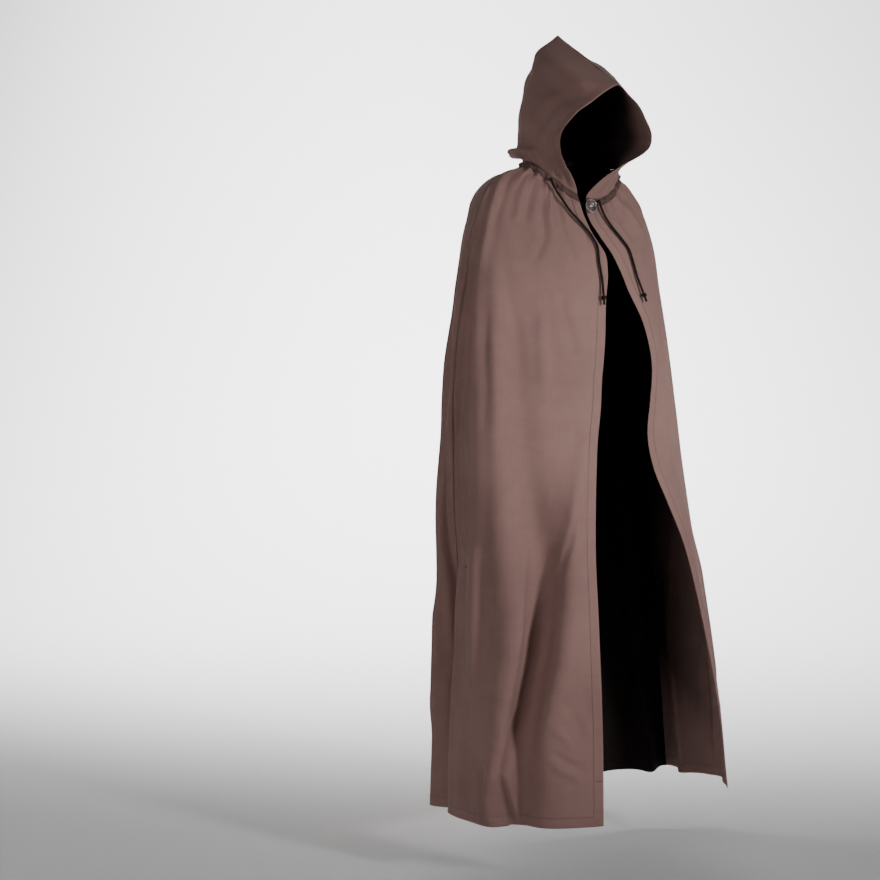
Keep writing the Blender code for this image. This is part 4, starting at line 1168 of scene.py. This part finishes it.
def smooth_route(route, spacing):
    """Points evenly spaced on a smooth curve through the route's points."""
    route = np.array(route)
    chord = np.concatenate([[0], np.cumsum(np.linalg.norm(np.diff(route, axis=0), axis=1))])
    slope = np.gradient(route, chord, axis=0)
    at = np.linspace(0, chord[-1], int(chord[-1] / spacing) + 1)
    index = np.clip(np.searchsorted(chord, at) - 1, 0, len(chord) - 2)
    span = (chord[index + 1] - chord[index])[:, None]
    t = (at[:, None] - chord[index][:, None]) / span
    start = (1 + 2 * t) * (1 - t) ** 2 * route[index] + t * (1 - t) ** 2 * span * slope[index]
    end = t * t * (3 - 2 * t) * route[index + 1] + t * t * (t - 1) * span * slope[index + 1]
    return start + end


def tube(name, points, radii, sides, look, closed=False):
    """A round tube along points, with a UV map of turns round and metres along."""
    points = np.array(points)
    count = len(points)
    radii = np.broadcast_to(radii, (count,))
    if closed:
        ways = np.roll(points, -1, axis=0) - np.roll(points, 1, axis=0)
    else:
        ways = np.gradient(points, axis=0)
    ways = unit(ways)
    beside = np.cross(ways[0], [0.31, 0.52, 0.79])
    beside = beside / np.linalg.norm(beside)
    frames = []
    for way in ways:
        beside = beside - way * np.dot(beside, way)
        beside = beside / np.linalg.norm(beside)
        frames.append((beside, np.cross(way, beside)))
    verts = []
    for point, radius, (first, second) in zip(points, radii, frames):
        for s in range(sides):
            angle = 2 * np.pi * s / sides
            verts.append(point + radius * (first * np.cos(angle) + second * np.sin(angle)))
    lengths = np.concatenate([[0], np.cumsum(np.linalg.norm(np.diff(points, axis=0), axis=1))])
    faces = []
    cuts = []
    for r in range(count if closed else count - 1):
        following = (r + 1) % count
        high = lengths[r] + np.linalg.norm(points[following] - points[r])
        for s in range(sides):
            t = (s + 1) % sides
            faces.append((r * sides + s, r * sides + t, following * sides + t, following * sides + s))
            left, right = s / sides, (s + 1) / sides
            cuts += [(left, lengths[r]), (right, lengths[r]), (right, high), (left, high)]
    if not closed:
        faces.append(tuple(reversed(range(sides))))
        faces.append(tuple(range((count - 1) * sides, count * sides)))
        cuts += [(0.0, 0.0)] * sides + [(0.0, lengths[-1])] * sides
    data = bpy.data.meshes.new(name)
    data.from_pydata([tuple(v) for v in verts], [], faces)
    layer = data.uv_layers.new(name="cut")
    layer.data.foreach_set("uv", np.array(cuts, dtype=np.float32).reshape(-1))
    data.polygons.foreach_set("use_smooth", [True] * len(faces))
    data.materials.append(look)
    made = bpy.data.objects.new(name, data)
    bpy.context.collection.objects.link(made)
    return made


def off_cloth(surface, around, down, lift):
    """A point lifted off the cloth, and the cloth's outward direction there."""
    around = np.array([around])
    down = np.array([down])
    normal, _ = normal_of(surface, around, down)
    return (surface(around, down) + normal * lift)[0], normal[0]


def cord_route(lays):
    start, outward = off_cloth(body_cloth, lays[0].around, lays[0].down, CLOTH / 2 + 2 * SEAM)
    route = [start, start + outward * 0.005]
    for lay in lays[1:]:
        point, _ = off_cloth(level_ring, lay.around, lay.down, lay.lift)
        route.append(point)
    return route


for name, lays in (("right", RIGHT_LAY), ("left", LEFT_LAY)):
    path = smooth_route(cord_route(lays), 0.0025)
    drawstring = tube("cord_" + name, path, CORD_WIDE / 2, 16, braid_look)
    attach(drawstring, "root")
    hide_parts("drawstring_" + name)
    solid_path = smooth_route(cord_route(lays), 2.0 * CORD_WIDE)
    way = unit(solid_path[-2] - solid_path[-1])
    top = solid_path[-1] - way * SEAM
    turn = np.linspace(0, 2 * np.pi, 96, endpoint=False)
    wrap = KNOT_WRAP + KNOT_SWAY * np.cos(3 * turn)
    rise = KNOT_RISE * np.sin(3 * turn)
    loops = np.stack([wrap * np.cos(2 * turn), wrap * np.sin(2 * turn), rise], axis=1)
    upright = Vector(way).to_track_quat("Z", "Y").to_matrix().to_3x3()
    upright = np.array(upright)
    centre = top - way * 0.0050
    knot = tube("tied_knot_" + name, loops @ upright.T + centre, KNOT_CORD, 12, braid_look, closed=True)
    tail_path = [centre - way * 0.002, top - way * KNOT_TALL, top - way * (KNOT_TALL + TAIL_TALL)]
    tail_points = smooth_route(tail_path, 0.0012)
    flare = np.where(np.arange(len(tail_points)) > len(tail_points) - 4, FRAYED_RADIUS, TAIL_RADIUS)
    tail = tube("cord_tail_" + name, tail_points, flare, 12, braid_look)
    for piece in (knot, tail):
        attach(piece, "root")
    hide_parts("knot_" + name)


# The loop and the button.
# A loop of thinner braided cord from the right front's edge goes round the button's shank. The
# button is cast metal with plain rings, sewn to the left front by the shank on its back.

BUTTON_WIDE = 0.029
BUTTON_THICK = 0.0032
SHANK_WIDE = 0.006
SHANK_TALL = 0.0066
LOOP_WIDE = 0.0022
BUTTON_AROUND = 0.9906
BUTTON_DOWN = 0.0045
LOOP_RADIUS = 0.0047
LOOP_TALL = 0.0036
BODY_SHARE = 0.965
RINGS = (
    (0.0009, 0.0), (0.0005, -0.0007), (0.0009, 0.0), (0.0006, 0.0006), (0.0006, 0.0),
    (0.0006, -0.0008), (0.0024, 0.0), (0.0007, 0.0008), (0.0007, 0.0), (0.0007, -0.0006),
    (0.0013, 0.0), (0.0008, 0.0007),
)

place, outward = off_cloth(body_cloth, BUTTON_AROUND, BUTTON_DOWN, CLOTH / 2 + LOOP_TALL)
edge = body_cloth(np.array([0.0]), np.array([BUTTON_DOWN]))[0]
ahead = place - edge
ahead = unit(ahead - outward * np.dot(ahead, outward))
beside = np.cross(outward, ahead)
downs = np.array([BUTTON_DOWN - 0.0018, BUTTON_DOWN + 0.0018])
upper, lower = body_cloth(np.zeros(2), downs) + ahead * 0.0018
half = 0.45 * edge + 0.55 * (place - ahead * LOOP_RADIUS) + outward * 0.0008
route = [upper, half + beside * 0.0028]
for angle in np.radians((140, 100, 50, 0, -50, -100, -140)):
    route.append(place + LOOP_RADIUS * (ahead * np.cos(angle) + beside * np.sin(angle)))
route += [half - beside * 0.0028, lower]
loop = tube("braided_loop", smooth_route(route, 0.0008), LOOP_WIDE / 2, 12, braid_look)
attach(loop, "root")
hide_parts("button_loop")

bpy.ops.object.select_all(action="DESELECT")
radius = BUTTON_WIDE / 2 * BODY_SHARE
bpy.ops.mesh.primitive_cylinder_add(
    vertices=72, radius=radius, depth=BUTTON_THICK, location=(0, 0, SHANK_TALL + BUTTON_THICK / 2)
)
button = bpy.context.object
button.name = "ringed_button"
bpy.ops.object.transform_apply(location=True, rotation=True, scale=True)
bpy.ops.object.mode_set(mode="EDIT")
bpy.ops.mesh.select_mode(type="FACE")


def select_cap(sign):
    """Selects the button's front or back face, by its normal and its number of corners."""
    bpy.ops.mesh.select_all(action="DESELECT")
    bpy.ops.object.mode_set(mode="OBJECT")
    caps = [face for face in button.data.polygons if face.normal.z * sign > 0.99]
    cap = max(caps, key=lambda face: len(face.vertices))
    cap.select = True
    bpy.ops.object.mode_set(mode="EDIT")


select_cap(1)
for thickness, depth in RINGS:
    bpy.ops.mesh.inset(thickness=thickness, depth=depth)
select_cap(-1)
bpy.ops.mesh.inset(thickness=radius - SHANK_WIDE / 2, depth=0)
bpy.ops.mesh.extrude_region_move(TRANSFORM_OT_translate={"value": (0, 0, -SHANK_TALL)})
bpy.ops.object.mode_set(mode="OBJECT")
soft_edges = button.modifiers.new("soft_edges", "BEVEL")
soft_edges.width = 0.00022
soft_edges.segments = 2
soft_edges.limit_method = "ANGLE"
soft_edges.angle_limit = np.radians(25)
bpy.ops.object.modifier_apply(modifier="soft_edges")
bpy.ops.object.shade_smooth_by_angle(angle=np.radians(40))
# Tarnish lies in the sunk rings, so each point keeps how far it lies below the face.
button_points = np.array([vertex.co[:] for vertex in button.data.vertices])
below_face = SHANK_TALL + BUTTON_THICK - button_points[:, 2]
recess = button.data.attributes.new("recess", "FLOAT", "POINT")
recess.data.foreach_set("value", smooth(0.0001, 0.0006, below_face).astype(np.float32))
seat, outward = off_cloth(body_cloth, BUTTON_AROUND, BUTTON_DOWN, CLOTH / 2 + SEAM)
facing = Vector(outward).to_track_quat("Z", "Y").to_matrix().to_4x4()
button.data.transform(Matrix.Translation(Vector(seat)) @ facing)

pewter_look = bpy.data.materials.new("button_pewter")
pewter_look.use_nodes = True
pewter_tree = pewter_look.node_tree
pewter = pewter_tree.nodes["Principled BSDF"]
pewter_place = add_node(pewter_tree, "ShaderNodeTexCoord", (-1100, 0)).outputs["Object"]
cast = noise_node(pewter_tree, (-900, 100), pewter_place, 420.0, 4.0)
tarnish = noise_node(pewter_tree, (-900, -100), pewter_place, 110.0, 3.0)
tarnish_share = range_node(pewter_tree, (-700, -100), tarnish, 0.42, 0.70, 0.0, 0.75)
metal = mix_colour(pewter_tree, (-500, 0), tarnish_share, (0.46, 0.41, 0.385), (0.17, 0.140, 0.128))
sunk = attribute(pewter_tree, (-500, 200), "recess")
pewter_tree.links.new(
    mix_colour(pewter_tree, (-300, 100), sunk, metal, (0.045, 0.036, 0.033)), pewter.inputs["Base Color"]
)
rough_cast = range_node(pewter_tree, (-500, -200), cast, 0.3, 0.7, 0.30, 0.52)
pewter_tree.links.new(rough_cast, pewter.inputs["Roughness"])
pewter.inputs["Metallic"].default_value = 1.0
pewter_bump = add_node(pewter_tree, "ShaderNodeBump", (-500, -400))
pewter_bump.inputs["Strength"].default_value = 0.25
pewter_bump.inputs["Distance"].default_value = 0.0002
pewter_tree.links.new(cast, pewter_bump.inputs["Height"])
pewter_tree.links.new(pewter_bump.outputs[0], pewter.inputs["Normal"])
button.data.materials.clear()
button.data.materials.append(pewter_look)
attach(button, "root")
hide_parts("button")
